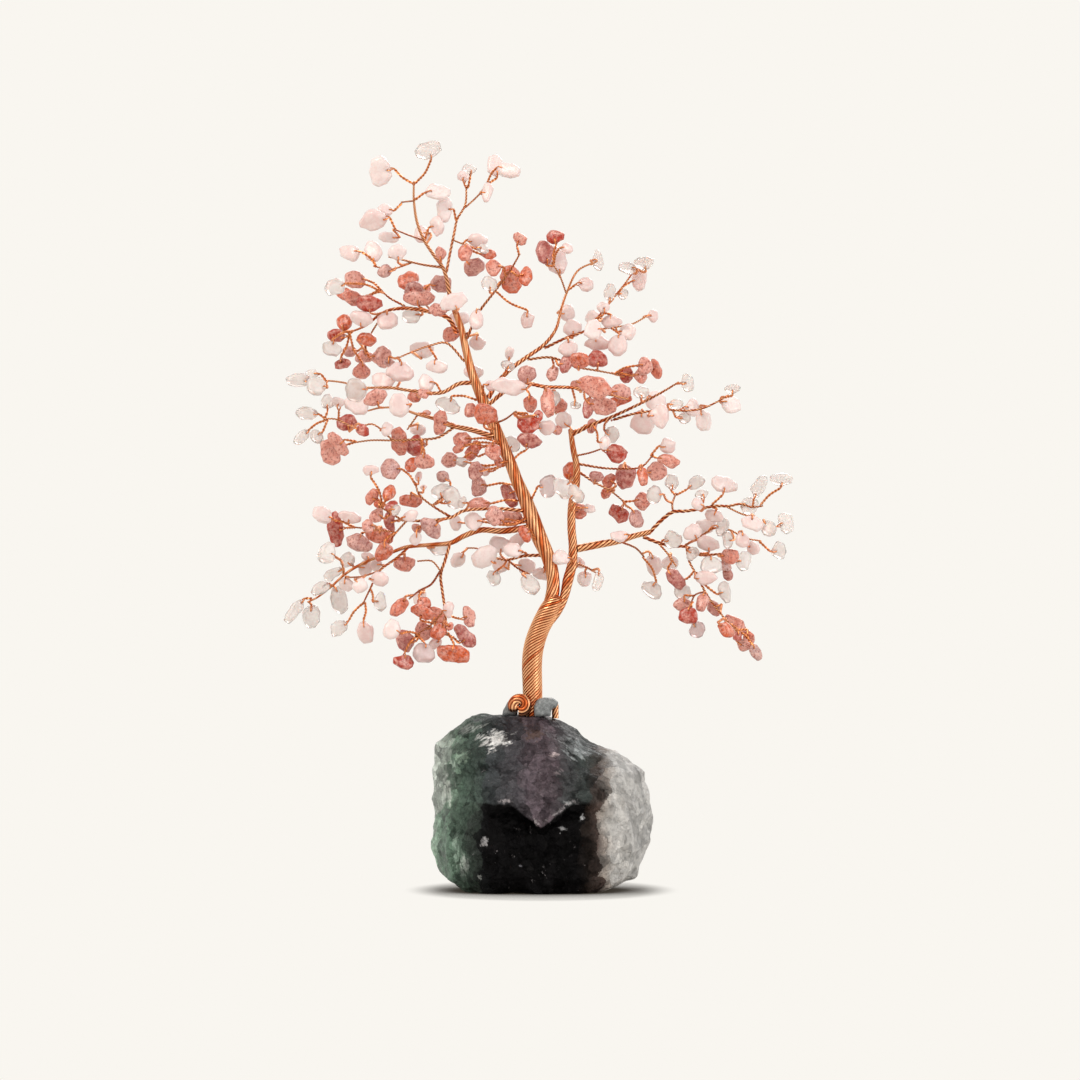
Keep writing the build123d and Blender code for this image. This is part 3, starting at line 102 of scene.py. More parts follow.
# %% [markdown]
# ## Materials
# Every finish is a node tree. One function adds a node with its settings and its links, and one turns
# the hex colours that people write into the linear values that Blender mixes.


# %% Material helpers
def linear(hex_colour):
    """A written sRGB colour as the linear one that a shader wants."""
    parts = [int(hex_colour[i:i + 2], 16) / 255 for i in (1, 3, 5)]
    return [p / 12.92 if p <= 0.04045 else ((p + 0.055) / 1.055) ** 2.4 for p in parts] + [1.0]


def node(tree, kind, links=None, stops=None, **settings):
    """Add a node. Links name its inputs, each a value, a socket or a node, which stands for the first of
    its outputs in use. Stops are a ramp's places and hex colours."""
    made = tree.nodes.new("ShaderNode" + kind)
    for name, value in settings.items():
        setattr(made, name, value)
    for name, value in (links or {}).items():
        if isinstance(value, bpy.types.Node):
            value = next(output for output in value.outputs if output.enabled)
        if isinstance(value, bpy.types.NodeSocket):
            tree.links.new(value, made.inputs[name])
        else:
            made.inputs[name].default_value = value
    for index, (place, colour) in enumerate(stops or []):
        points = made.color_ramp.elements
        point = points[index] if index < len(points) else points.new(place)
        point.position = place
        point.color = linear(colour)
    return made


def new_material(name):
    """A material whose node tree is still empty."""
    made = bpy.data.materials.new(name)
    made.use_nodes = True
    made.node_tree.nodes.clear()
    return made, made.node_tree


def seen_directly(tree):
    """1 where the camera sees a surface itself, in a reflection or through a stone, and 0 for other light."""
    path = node(tree, "LightPath")
    seen = path.outputs["Is Camera Ray"]
    for ray in ("Is Glossy Ray", "Is Transmission Ray"):
        seen = node(tree, "Math", {0: seen, 1: path.outputs[ray]}, operation="MAXIMUM")
    return seen


def dress(piece, material):
    """Give a piece one material."""
    piece.data.materials.clear()
    piece.data.materials.append(material)


# %% [markdown]
# ## Floor, backdrop and lights
# The photograph has a plain warm white ground with a soft contact shadow. The floor and the backdrop
# show that white to the camera, and the floor's shadow fades out in an oval round the stone. Soft lamps
# from the upper left, the right and behind light the tree.

# %% Floor
GROUND_COLOUR = "#F9F6F0"
FLOOR_SIZE = 8.0
SHADOW_REACH = 80
SHADOW_DEPTH = 2.6
SHADOW_ENDS = (34, 56)
SHADOW_OVAL = 0.7
# Floor: the photograph's even paper white, dimmed only where the stone shuts the light out
floor_paper, tree = new_material("floor_paper")
shade = node(tree, "AmbientOcclusion", {"Distance": SHADOW_REACH * MM}, samples=8)
depth = node(tree, "Math", {0: shade.outputs["AO"], 1: SHADOW_DEPTH}, operation="POWER")
oval = node(tree, "VectorMath", {0: node(tree, "TexCoord").outputs["Object"], 1: (1, SHADOW_OVAL, 0)},
            operation="MULTIPLY")
away = node(tree, "VectorMath", {0: oval}, operation="LENGTH")
beyond = node(tree, "MapRange", {"Value": away, "From Min": SHADOW_ENDS[0] * MM,
                                 "From Max": SHADOW_ENDS[1] * MM}, interpolation_type="SMOOTHSTEP")
depth = node(tree, "Math", {0: depth, 1: beyond}, operation="MAXIMUM")
dim = node(tree, "Mix", {0: depth, 6: linear("#3A352F"), 7: linear("#FFFFFF")}, data_type="RGBA")
seen = node(tree, "Mix", {0: 1.0, 6: linear(GROUND_COLOUR), 7: dim}, data_type="RGBA", blend_type="MULTIPLY")
glow = node(tree, "Emission", {"Color": seen, "Strength": 1.0})
matte = node(tree, "BsdfDiffuse", {"Color": linear("#D9D6D0")})
both = node(tree, "MixShader", {0: seen_directly(tree), 1: matte, 2: glow})
node(tree, "OutputMaterial", {"Surface": both})
bpy.ops.mesh.primitive_plane_add(size=FLOOR_SIZE, location=(0, 0, 0))
floor = bpy.context.object
floor.name = "floor"
dress(floor, floor_paper)
print("floor", FLOOR_SIZE, "m wide")

# %% Backdrop
world = bpy.data.worlds.new("studio")
bpy.context.scene.world = world
world.use_nodes = True
tree = world.node_tree
tree.nodes.clear()
lit = node(tree, "Background", {"Color": linear("#FFFDF8"), "Strength": 0.84})
shown = node(tree, "Background", {"Color": linear(GROUND_COLOUR), "Strength": 1.0})
both = node(tree, "MixShader", {0: seen_directly(tree), 1: lit, 2: shown})
node(tree, "OutputWorld", {"Surface": both})
print("backdrop", world.name)

# %% Lamps
TREE_MIDDLE = Vector((0, 0, 0.15))
# Each soft square lamp: where it hangs, its size, its power and its colour
LAMPS = {
    "key": ((-0.55, -0.75, 0.85), 0.55, 5.6, "#FFF8EE"),
    "fill": ((0.85, -0.6, 0.35), 0.6, 3.0, "#FFFFFF"),
    "rim": ((0.3, 0.8, 0.75), 0.5, 4.0, "#FFFFFF"),
}
for name, (place, size, energy, colour) in LAMPS.items():
    lamp = bpy.data.lights.new(name, "AREA")
    lamp.size = size
    lamp.energy = energy
    lamp.color = linear(colour)[:3]
    holder = add_object(name, lamp)
    holder.location = place
    holder.rotation_euler = (TREE_MIDDLE - Vector(place)).to_track_quat("-Z", "Y").to_euler()
print("lamps", list(LAMPS))

# %% [markdown]
# ## Copper
# The wire is bright bare copper, drawn and then twisted. Light strands lie beside grooves of painted
# brown shade, where the strands shade each other, so each rope carries two numbers at every point: how
# deep it lies in a groove, and which strand it is on. The shader paints shade by the one and changes
# tone by the other.


# %% Copper finishes
def copper_finish(name, light, dark, groove_shade_colour, groove_shade_share, roughness):
    """Bright drawn copper with painted shade in the grooves between strands, and a little different on each.
    """
    made, tree = new_material(name)
    place = node(tree, "TexCoord").outputs["Object"]
    groove = node(tree, "Attribute", attribute_name="groove").outputs["Fac"]
    strand = node(tree, "Attribute", attribute_name="strand").outputs["Fac"]
    drift = node(tree, "TexNoise", {"Vector": place, "Scale": 1 / (6 * MM), "Detail": 2.0})
    mixed = node(tree, "Math", {0: drift, 1: strand}, operation="ADD")
    tone = node(tree, "ValToRGB", {0: mixed}, stops=[(0.55, dark), (1.0, light)])
    # Painted shade: the groove mark and the crevices' occlusion darken the colour towards the groove shade
    # colour
    crevice = node(tree, "AmbientOcclusion", {"Distance": 0.7 * MM}, samples=4)
    crevice_shade = node(tree, "MapRange", {"Value": crevice.outputs["AO"], "From Min": 0.9, "From Max": 0.35,
                                   "To Max": groove_shade_share})
    groove_shade_amount = node(tree, "Math", {0: groove, 1: crevice_shade}, operation="MAXIMUM")
    groove_shade_amount = node(tree, "Math", {0: groove_shade_amount, 1: groove_shade_share}, operation="MINIMUM")
    colour = node(tree, "Mix", {0: groove_shade_amount, 6: tone, 7: linear(groove_shade_colour)}, data_type="RGBA")
    grain = node(tree, "TexNoise", {"Vector": place, "Scale": 1 / (0.5 * MM), "Detail": 2.0})
    rough = node(tree, "MapRange", {"Value": grain, "To Min": roughness - 0.06, "To Max": roughness + 0.1})
    bump = node(tree, "Bump", {"Height": grain, "Strength": 0.15, "Distance": 0.02 * MM})
    shader = node(tree, "BsdfPrincipled", {"Base Color": colour, "Metallic": 1.0, "Roughness": rough,
                                           "Normal": bump})
    node(tree, "OutputMaterial", {"Surface": shader})
    return made


# Copper: warm bright strands between grooves of painted brown shade, which make a rope read as many wires
rope_copper = copper_finish("twisted_bare_copper", "#FDBF8C", "#D16B39", "#74260E", 0.95, 0.32)
twig_copper = copper_finish("fine_copper_wire", "#FFC79A", "#DE8C57", "#8A3A1C", 0.85, 0.3)
print("copper", rope_copper.name, twig_copper.name)

# %% [markdown]
# ## Where the stems run
# The model's stems were read from the photograph, as the pixels that each one passes and its width
# there. The same table is used here, so that each rope follows its stem, with the side branches
# leaving their parents at the surface.

# %% Stems
TRUNK_PX = [
    (532.5, 716, 20), (532.5, 690, 20), (532, 664, 20.5), (534, 646, 20.5), (540, 628, 20),
    (549, 611, 21), (555.5, 599, 24),
]
# The limbs that bend are bodies of their own, and all other stems belong to the tree
BENDING = ["crown", "upper_left", "lower_left", "left_sprig", "upper_right", "far_right", "right_limb",
           "right_sprig"]
# The stems that go on from their carrier's tip; the others leave it at its side
FROM_TIP = ["crown_stem", "left_low_tip", "right_limb_high", "right_sprig_stem"]
# Every stem: the stem that carries it, how far back its tip leans as a share of the canopy's reach, and
# its centres and widths
STEMS = {
    "left_leader": (None, 0.06, [(551.5, 596, 14), (553, 578, 13), (548, 557, 14), (540, 539, 16),
        (532, 518, 16), (525, 499, 14), (517, 481, 12.5), (510, 462, 12), (500, 440, 12.5), (491, 419, 12.5),
        (481, 396, 11), (472, 373, 9), (466, 350, 8), (461, 328, 7), (454, 308, 6), (450, 296, 5)]),
    "right_leader": (None, -0.05, [(563.5, 594, 9), (568, 580, 11), (572, 564, 10), (573, 547, 9),
        (571.5, 528, 8.5), (572, 506, 8.5), (576, 484, 8), (576.5, 466, 7), (573, 448, 6), (570.5, 430, 5)]),
    "crown_stem": ("left_leader", -0.05, [(448.5, 291, 5), (444, 270, 4), (433, 254, 3.6), (424, 240, 3.2),
        (417, 222, 3), (414, 201, 2.5), (414, 182, 2)]),
    "crown_right": ("crown_stem", 0.22, [(445, 270, 3.2), (450, 252, 3), (454, 232, 3), (457, 218, 2.6),
        (465, 203, 2.4), (466, 184, 2)]),
    "crown_tip": ("crown_right", 0.30, [(465, 203, 2), (479, 192, 2), (488, 178, 1.8)]),
    "crown_fork": ("crown_right", 0.02, [(453, 240, 2), (468, 246, 1.8)]),
    "crown_left": ("crown_stem", -0.30, [(440, 266, 3), (422, 265, 2.5), (402, 261, 2.2), (390, 259, 1.8)]),
    "crown_outer": ("crown_left", -0.12, [(412, 265, 2), (392, 270, 2), (374, 267, 1.8)]),
    "crown_middle": ("crown_stem", -0.35, [(423, 240, 2), (408, 236, 2), (396, 232, 1.8)]),
    "crown_high": ("crown_stem", -0.20, [(414, 201, 2), (402, 204, 1.8)]),
    "upper_left_stem": ("left_leader", 0.38, [(461, 330, 5), (447, 317, 5), (425, 310, 4.4), (402, 307, 4),
        (382, 311, 3), (364, 324, 2.5), (346, 331, 2)]),
    "upper_left_high": ("upper_left_stem", 0.25, [(402, 306, 2.5), (388, 296, 2.2), (378, 286, 1.8)]),
    "upper_left_red": ("upper_left_stem", 0.50, [(430, 312, 2.5), (420, 297, 2), (415, 285, 1.8)]),
    "upper_left_low": ("upper_left_stem", 0.55, [(380, 312, 2.5), (370, 330, 2), (362, 346, 1.8)]),
    "left_mid_stem": ("left_leader", -0.40, [(490, 436, 6), (472, 430, 5.5), (452, 426, 5), (434, 419, 4),
        (418, 415, 3), (400, 409, 2.4), (382, 409, 2), (370, 412, 1.8)]),
    "left_mid_low": ("left_mid_stem", -0.30, [(452, 427, 3), (438, 438, 2.8), (420, 440, 2.4),
        (394, 441, 2.2), (372, 441, 2), (352, 444, 1.8)]),
    "left_mid_outer": ("left_mid_low", -0.10, [(392, 440, 2.2), (374, 425, 2), (356, 428, 2), (338, 420, 2),
        (324, 419, 1.8)]),
    "left_mid_drop": ("left_mid_stem", -0.20, [(418, 416, 2.2), (408, 430, 1.8)]),
    "left_mid_high": ("left_leader", -0.20, [(474, 381, 5), (458, 384, 4.5), (440, 393, 4), (412, 391, 3.5),
        (390, 388, 3), (366, 388, 2.4), (343, 383, 2), (324, 381, 1.8)]),
    "left_mid_bridge": ("left_leader", 0.15, [(464, 359, 3), (447, 343, 2.6), (430, 345, 2.2), (410, 352, 2),
        (396, 358, 1.8)]),
    "left_low_stem": ("left_leader", -0.40, [(526, 509, 4), (505, 509, 4), (484, 509, 3.6), (464, 511, 3.6),
        (450, 518, 3.4), (424, 521, 3.2), (403, 520, 3)]),
    "left_low_high": ("left_low_stem", -0.20, [(450, 519, 3), (433, 506, 2.5), (420, 495, 2.3),
        (416, 483, 2)]),
    "left_low_fork": ("left_low_high", -0.10, [(433, 506, 2), (443, 497, 2), (453, 490, 1.8)]),
    "left_low_tip": ("left_low_stem", -0.55, [(402, 519, 2.5), (392, 513, 2.2), (381, 507, 1.8)]),
    "left_low_under": ("left_low_stem", -0.25, [(408, 521, 2.4), (397, 533, 2.2), (388, 545, 1.8)]),
    "left_low_outer": ("left_low_under", -0.15, [(396, 533, 2), (372, 529, 2), (352, 527, 1.8)]),
    "lower_left_stem": ("left_leader", -0.05, [(528, 527, 7), (502, 531, 6.5), (481, 530, 6),
        (464, 536, 5.5), (450, 543, 5), (428, 545, 4.2), (407, 547, 4), (390, 553, 3.4), (373, 559, 3),
        (356, 567, 3), (343, 576, 2.6), (331, 587, 2.4), (318, 597, 2), (308, 602, 1.8)]),
    "lower_left_drop": ("lower_left_stem", -0.30, [(405, 548, 3), (397, 558, 3), (380, 571, 2.6),
        (371, 589, 2.2), (364, 604, 1.8)]),
    "lower_left_row": ("lower_left_drop", -0.40, [(379, 573, 2.2), (364, 576, 2), (351, 577, 1.8)]),
    "left_sprig_stem": ("lower_left_stem", -0.42, [(449, 546, 3.5), (445, 561, 3.5), (441, 575, 3.4),
        (443, 592, 3.2), (446, 612, 3), (447, 634, 2.4)]),
    "left_sprig_left": ("left_sprig_stem", -0.50, [(441, 574, 2.6), (432, 584, 2.5), (421, 590, 2.2),
        (411, 598, 1.8)]),
    "left_sprig_high": ("left_sprig_stem", -0.15, [(442, 571, 2), (432, 561, 2), (418, 561, 1.8)]),
    "left_sprig_low": ("left_sprig_stem", -0.55, [(446, 612, 2.4), (432, 624, 2), (417, 634, 1.8)]),
    "centre_stem": ("left_leader", -0.30, [(466, 338, 3.2), (478, 314, 3), (496, 291, 2.6), (511, 271, 2.2),
        (520, 256, 1.8)]),
    "centre_fork": ("left_leader", -0.25, [(494, 424, 2.4), (506, 419, 2.2), (516, 412, 1.8)]),
    "upper_right_stem": ("left_leader", 0.30, [(484, 398, 5.5), (497, 383, 5), (510, 369, 5),
        (526, 357, 4.5), (544, 344, 4), (556, 328, 3.2), (561, 309, 2.8), (567, 291, 2.5), (578, 269, 2.2),
        (598, 259, 1.8)]),
    "upper_right_mid": ("upper_right_stem", 0.42, [(544, 344, 3.4), (566, 337, 3), (588, 328, 2.8),
        (602, 311, 2.4), (614, 296, 2.2), (626, 281, 2), (637, 265, 1.8)]),
    "upper_right_far": ("upper_right_mid", 0.50, [(588, 328, 2.4), (610, 326, 2.2), (632, 322, 2),
        (647, 314, 1.8)]),
    "upper_right_low": ("upper_right_stem", 0.20, [(528, 356, 3), (552, 357, 2.8), (576, 366, 2.5),
        (598, 370, 2.2), (620, 374, 1.8)]),
    "upper_right_top": ("upper_right_stem", 0.10, [(567, 291, 2), (560, 275, 1.9), (552, 262, 1.8)]),
    "right_mid_stem": ("left_leader", -0.20, [(488, 404, 4.5), (504, 392, 4.5), (522, 383, 4.4),
        (545, 387, 4), (571, 388, 3.5), (592, 392, 3), (612, 396, 2.4), (628, 400, 1.8)]),
    "right_mid_drop": ("right_mid_stem", -0.35, [(545, 388, 2.4), (550, 402, 2.2), (556, 415, 1.8)]),
    "right_hub_low": ("right_leader", 0.15, [(577, 473, 3), (594, 482, 2.6), (611, 491, 2.2),
        (626, 503, 1.8)]),
    "right_hub_high": ("right_leader", -0.10, [(577, 465, 3), (602, 468, 2.5), (622, 469, 2.2),
        (641, 467, 2), (653, 455, 1.8)]),
    "right_hub_up": ("right_leader", -0.20, [(575, 456, 2.2), (590, 453, 2), (602, 449, 1.8)]),
    "far_right_stem": ("right_leader", -0.45, [(572, 434, 4), (592, 425, 4), (608, 419, 3.8),
        (626, 411, 3.2), (645, 402, 3), (662, 393, 2.4), (677, 384, 2)]),
    "far_right_low": ("far_right_stem", -0.50, [(612, 418, 3), (636, 414, 2.8), (665, 411, 2.5),
        (684, 412, 2.4), (700, 410, 2.2), (714, 404, 2), (726, 397, 1.8)]),
    "right_limb_stem": ("right_leader", 0.12, [(573, 548, 8), (596, 545, 8), (618, 541, 7), (634, 536, 6),
        (650, 532, 5.5)]),
    "right_limb_high": ("right_limb_stem", 0.05, [(652, 531, 4.2), (662, 520, 4.2), (673, 512, 4),
        (686, 511, 3.6), (700, 509, 3.4), (715, 506, 3.2), (729, 506, 3), (741, 504, 2.4), (752, 507, 2.2),
        (763, 506, 1.8)]),
    "right_limb_up": ("right_limb_high", 0.30, [(673, 511, 2.5), (673, 503, 2.4), (677, 493, 2)]),
    "right_limb_out": ("right_limb_high", -0.15, [(729, 507, 2.2), (742, 514, 2), (756, 518, 2),
        (766, 525, 1.8)]),
    "right_limb_low": ("right_limb_stem", 0.25, [(645, 534, 4), (657, 542, 4), (672, 546, 3.6),
        (688, 547, 3.4), (701, 555, 3), (723, 554, 2.6), (740, 556, 1.8)]),
    "right_limb_far": ("right_limb_low", 0.35, [(688, 547, 2.8), (702, 536, 2.6), (716, 528, 2.4),
        (731, 530, 2.2), (747, 538, 2), (763, 541, 1.8)]),
    "right_limb_under": ("right_limb_low", 0.10, [(688, 548, 2.8), (690, 562, 2.6), (697, 575, 2.4)]),
    "right_limb_side": ("right_limb_stem", 0.40, [(622, 541, 2.6), (636, 548, 2.4), (645, 557, 2)]),
    "right_limb_tail": ("right_limb_low", 0.00, [(660, 543, 2.4), (668, 554, 2.2), (676, 566, 1.8)]),
    "right_sprig_stem": ("right_limb_under", -0.05, [(699, 579, 2.6), (706, 593, 2.6), (714, 605, 2.4),
        (726, 620, 2.2), (738, 633, 1.8)]),
    "right_sprig_left": ("right_sprig_stem", -0.15, [(705, 592, 2.2), (695, 595, 2), (690, 604, 1.8)]),
    "low_centre_stem": ("left_leader", 0.40, [(545, 553, 4), (524, 556, 3.6), (506, 560, 3), (490, 556, 2.4),
        (478, 549, 2), (466, 548, 1.8)]),
    "low_centre_drop": ("low_centre_stem", 0.25, [(508, 560, 2.4), (517, 568, 2.2), (530, 575, 1.8)]),
    "low_centre_right": ("right_leader", 0.30, [(572, 563, 3), (588, 568, 2.6), (598, 574, 1.8)]),
}


# %% Pixels, radii and bodies
def body_of(name):
    """The body that a stem or a group of limbs moves with."""
    return next((body for body in BENDING if name.startswith(body)), "tree")


def place_px(x, y, depth=0.0):
    """The point behind a pixel of the photograph, in millimetres."""
    return np.array([(x - MIDDLE_PX) * PIXEL, depth, (GROUND_PX - y) * PIXEL])


def radii_px(row):
    """The radii, in millimetres, of a row of centres and widths."""
    return [width * PIXEL / 2 for x, y, width in row]


def unit(vector):
    """The same direction, one long."""
    return vector / np.linalg.norm(vector)


# %% Where a branch leaves its stem
def nearest_on(stem, point):
    """The point of a stem's middle line nearest to a point in the picture plane, its radius and its way."""
    best = None
    for start, end, r_start, r_end in zip(stem["at"], stem["at"][1:], stem["r"], stem["r"][1:]):
        run = (end - start)[[0, 2]]
        along = np.clip(np.dot(point[[0, 2]] - start[[0, 2]], run) / np.dot(run, run), 0, 1)
        spot = start + along * (end - start)
        miss = np.linalg.norm((spot - point)[[0, 2]])
        if best is None or miss < best[0]:
            best = (miss, spot, r_start + along * (r_end - r_start), unit(end - start))
    return best[1:]


def leave_stem(spot, radius, way, aim, own_radius, gap):
    """Where a branch starts beside its stem's surface on its way to aim."""
    pull = aim - spot
    side = pull - way * np.dot(pull, way)
    lift = own_radius * abs(np.dot(pull, way)) / np.linalg.norm(pull)
    return spot + unit(side) * (radius + gap + lift)


# %% Grow the stems
SEAT_GAP = 0.15
HINGE_GAP = 0.5
CANOPY_REACH = 60.0


def grow_stems(foot_height):
    """The middle line and radii of every stem, each one starting at the stem that carries it."""
    grown = {}
    for name, (carrier, tip_share, row) in STEMS.items():
        radii = radii_px(row)
        first_depth = 0.0
        if carrier:
            spot, radius, way = nearest_on(grown[carrier], place_px(row[0][0], row[0][1]))
            first_depth = spot[1]
        tip_depth = tip_share * CANOPY_REACH
        steps = [math.dist(a[:2], b[:2]) for a, b in zip(row, row[1:])]
        gone = [sum(steps[:count]) / sum(steps) for count in range(len(row))]
        at = [place_px(x, y, first_depth + share * (tip_depth - first_depth))
              for (x, y, width), share in zip(row, gone)]
        if not carrier:
            at[0][2] = foot_height + SEAT_GAP
        else:
            gap = SEAT_GAP if body_of(carrier) == body_of(name) else HINGE_GAP
            if name in FROM_TIP:
                before, tip = grown[carrier]["at"][-2:]
                at[0] = tip + unit(tip - before) * gap
            else:
                at[0] = leave_stem(spot, radius, way, at[1], radii[0], gap)
        grown[name] = {"at": at, "r": radii}
    return grown


trunk_points = [place_px(x, y) for x, y, width in TRUNK_PX]
trunk_radii = radii_px(TRUNK_PX)
stems = grow_stems(trunk_points[-1][2])
print(len(stems), "stems")

# %% [markdown]
# ## Ropes
# Each stem is a rope of many wires laid side by side and twisted. A rope's look is its outer wires, so
# its cross section is a ring of round lobes. Blender's curve takes that section as its bevel, turns it
# along the way with the points' tilt, and thins it with their radius. The same could be done with a
# separate tube for each wire, but the inner ones never show.

# %% Rope section
LOBE_SWINGS = (-76, -26, 26, 76)


def rope_section(strands):
    """The outline of a rope cut across, one unit in radius: a ring of round wires side by side."""
    name = f"rope_section_{strands}"
    if name in bpy.data.objects:
        return bpy.data.objects[name]
    lobe = math.sin(math.pi / strands) / (1 + math.sin(math.pi / strands))
    outline = bpy.data.curves.new(name, "CURVE")
    outline.dimensions = "2D"
    spline = outline.splines.new("POLY")
    spline.points.add(strands * len(LOBE_SWINGS) - 1)
    for index, point in enumerate(spline.points):
        middle = 2 * math.pi * (index // len(LOBE_SWINGS)) / strands
        swing = middle + math.radians(LOBE_SWINGS[index % len(LOBE_SWINGS)])
        x = (1 - lobe) * math.cos(middle) + lobe * math.cos(swing)
        y = (1 - lobe) * math.sin(middle) + lobe * math.sin(swing)
        point.co = (x, y, 0, 1)
    spline.use_cyclic_u = True
    return add_object(name, outline)


# %% A smooth line through a stem
def smooth_route(points, radii, step_share):
    """A smooth line through a stem's points, in steps of a share of its radius, and its radii there."""
    ends = [2 * points[0] - points[1], *points, 2 * points[-1] - points[-2]]
    route = []
    for index in range(len(points) - 1):
        a, b, c, d = ends[index:index + 4]
        step = step_share * (radii[index] + radii[index + 1]) / 2
        count = max(2, math.ceil(np.linalg.norm(c - b) / step))
        for t in np.arange(count) / count:
            bend = (2 * a - 5 * b + 4 * c - d) * t ** 2 + (3 * b - a - 3 * c + d) * t ** 3
            spot = b + ((c - a) * t + bend) / 2
            route.append((spot, radii[index] * (1 - t) + radii[index + 1] * t))
    return route + [(points[-1], radii[-1])]


# %% Curves that become meshes
def select_only(*pieces):
    """Select some pieces and nothing else, the first one active."""
    bpy.ops.object.select_all(action="DESELECT")
    for piece in pieces:
        piece.select_set(True)
    bpy.context.view_layer.objects.active = pieces[0]


def new_curve(name, **settings):
    """An empty curve in space, closed at its ends."""
    curve = bpy.data.curves.new(name, "CURVE")
    curve.dimensions = "3D"
    curve.use_fill_caps = True
    for setting, value in settings.items():
        setattr(curve, setting, value)
    return curve


def add_line(curve, spots):
    """Add a line to a curve through some points, given in millimetres."""
    line = curve.splines.new("POLY")
    line.points.add(len(spots) - 1)
    for point, spot in zip(line.points, spots):
        point.co = (*(spot * MM), 1)
    return line


def mesh_of(name, curve):
    """A mesh object made of a curve."""
    select_only(add_object(name, curve))
    bpy.ops.object.convert(target="MESH")
    return bpy.context.object


# %% Marks that the copper reads
def mark(piece, **marks):
    """Write numbers on a piece's points, one for each, under the names that its shader reads."""
    for name, values in marks.items():
        made = piece.data.attributes.new(name, "FLOAT", "POINT")
        made.data.foreach_set("value", values.astype(np.float32))


def mark_strands(rope, strands):
    """Give each point of a rope its groove number, where the shader paints shade, and its strand number: its
    points go round it, ring by ring.
    """
    count = len(rope.data.vertices)
    on_ring = np.arange(count) % (strands * len(LOBE_SWINGS))
    grooves = np.where(np.isin(on_ring % len(LOBE_SWINGS), (0, len(LOBE_SWINGS) - 1)), 1.0, 0.0)
    tones = np.random.default_rng(strands + count).random(strands)[on_ring // len(LOBE_SWINGS)]
    mark(rope, groove=grooves, strand=tones)


# %% One rope
MOST_STRANDS = 18
FEWEST_STRANDS = 3
STRANDS_PER_MM = 4.0
STEPS_PER_STRAND = 5
# The rounded end: how far each ring is past the last point, and how wide, as shares of the radius
DOME = ((0.3, 0.85), (0.5, 0.55))


def lay_rope(name, points, radii, hand, lay):
    """One rope along a stem, twisted to the right or the left, with its end rounded off."""
    strands = min(MOST_STRANDS, max(FEWEST_STRANDS, round(STRANDS_PER_MM * max(radii))))
    route = smooth_route(points, radii, lay * 2 * math.pi / (STEPS_PER_STRAND * strands))
    end_way = unit(points[-1] - points[-2])
    for rise, narrow in DOME:
        route.append((points[-1] + end_way * rise * radii[-1], narrow * radii[-1]))
    curve = new_curve(name, bevel_mode="OBJECT", bevel_object=rope_section(strands))
    line = add_line(curve, [spot for spot, radius in route])
    turn = 0.0
    before = route[0][0]
    for point, (spot, radius) in zip(line.points, route):
        turn += hand * np.linalg.norm(spot - before) / (lay * radius)
        before = spot
        point.radius = radius * MM
        point.tilt = turn
    rope = mesh_of(name, curve)
    mark_strands(rope, strands)
    return rope


# %% Join and settle a piece
WIRE_CREASE = 55


def join_pieces(name, pieces):
    """Make one mesh piece of several."""
    select_only(*pieces)
    if len(pieces) > 1:
        bpy.ops.object.join()
    piece = bpy.context.object
    piece.name = piece.data.name = name
    bpy.ops.object.shade_smooth_by_angle(angle=math.radians(WIRE_CREASE))
    return piece


def settle(piece, material, slot, body, *nodes):
    """Give a piece its finish and its body, and let it stand for its CAD nodes."""
    dress(piece, material)
    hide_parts(*nodes)
    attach(piece, body)
    print(piece.name, len(piece.data.polygons), "faces on", body)


def settle_ropes(name, ropes, body, node_name):
    """Make one copper piece of some ropes, and let it stand for a node."""
    settle(join_pieces(name, ropes), rope_copper, "copper_wire", body, node_name)


# %% Trunk and leaders
TRUNK_LAY = 0.9
# The trunk's end is drawn in, where it lies under the leaders' roots
TRUNK_NARROWS = 0.72
# Each leader: how steeply its wires lie, and the centres and widths of its root, inside the trunk
LEADERS = {
    "left_leader": (2.6, [(538, 636, 8), (543, 620, 13)]),
    "right_leader": (1.6, [(546, 628, 7), (556, 612, 11)]),
}
trunk_ends = [*trunk_radii[:-1], trunk_radii[-1] * TRUNK_NARROWS]
settle_ropes("trunk_rope", [lay_rope("trunk_rope", trunk_points, trunk_ends, 1, TRUNK_LAY)], "tree", "trunk")
for name, (lay, root) in LEADERS.items():
    points = [place_px(x, y) for x, y, width in root] + stems[name]["at"]
    rope = lay_rope(name + "_rope", points, radii_px(root) + stems[name]["r"], 1, lay)
    settle_ropes(name + "_rope", [rope], "tree", name)

# %% Ropes of every limb
LIMB_LAY = 1.5
ROOT_OVERLAP = 1.0
GROUPS = ["centre", "right_mid", "left_mid", "left_low", "low_centre", "crown", "upper_left", "lower_left",
          "left_sprig", "upper_right", "far_right", "right_limb", "right_sprig"]
limb_names = {group: [name for name in stems if name.startswith(group)] for group in GROUPS}
limb_names["right_mid"] += [name for name in stems if name.startswith("right_hub")]
for group in GROUPS:
    ropes = []
    for index, name in enumerate(limb_names[group]):
        stem = stems[name]
        into = stem["at"][0] - unit(stem["at"][1] - stem["at"][0]) * ROOT_OVERLAP
        radii = [stem["r"][0], *stem["r"]]
        hand = 1 if index % 2 else -1
        ropes.append(lay_rope(name + "_rope", [into, *stem["at"]], radii, hand, LIMB_LAY))
    settle_ropes(group + "_ropes", ropes, body_of(group), group + "_stems")

# %% [markdown]
# ## Twigs and eyes
# A chip is hung by threading a wire through its hole and twisting both legs together down to the stem.
# The model has a rod for the twisted legs and a bent wire for the eye. Their middle lines are read from
# the model's points, which lie in rings round each bend, and one wire is laid along them: up the twig as
# one strand, round through the chip, and down again as the other.


# %% Points that hang together
def find_root(parents, index):
    """The name of the set that a point is in."""
    while parents[index] != index:
        parents[index] = parents[parents[index]]
        index = parents[index]
    return index


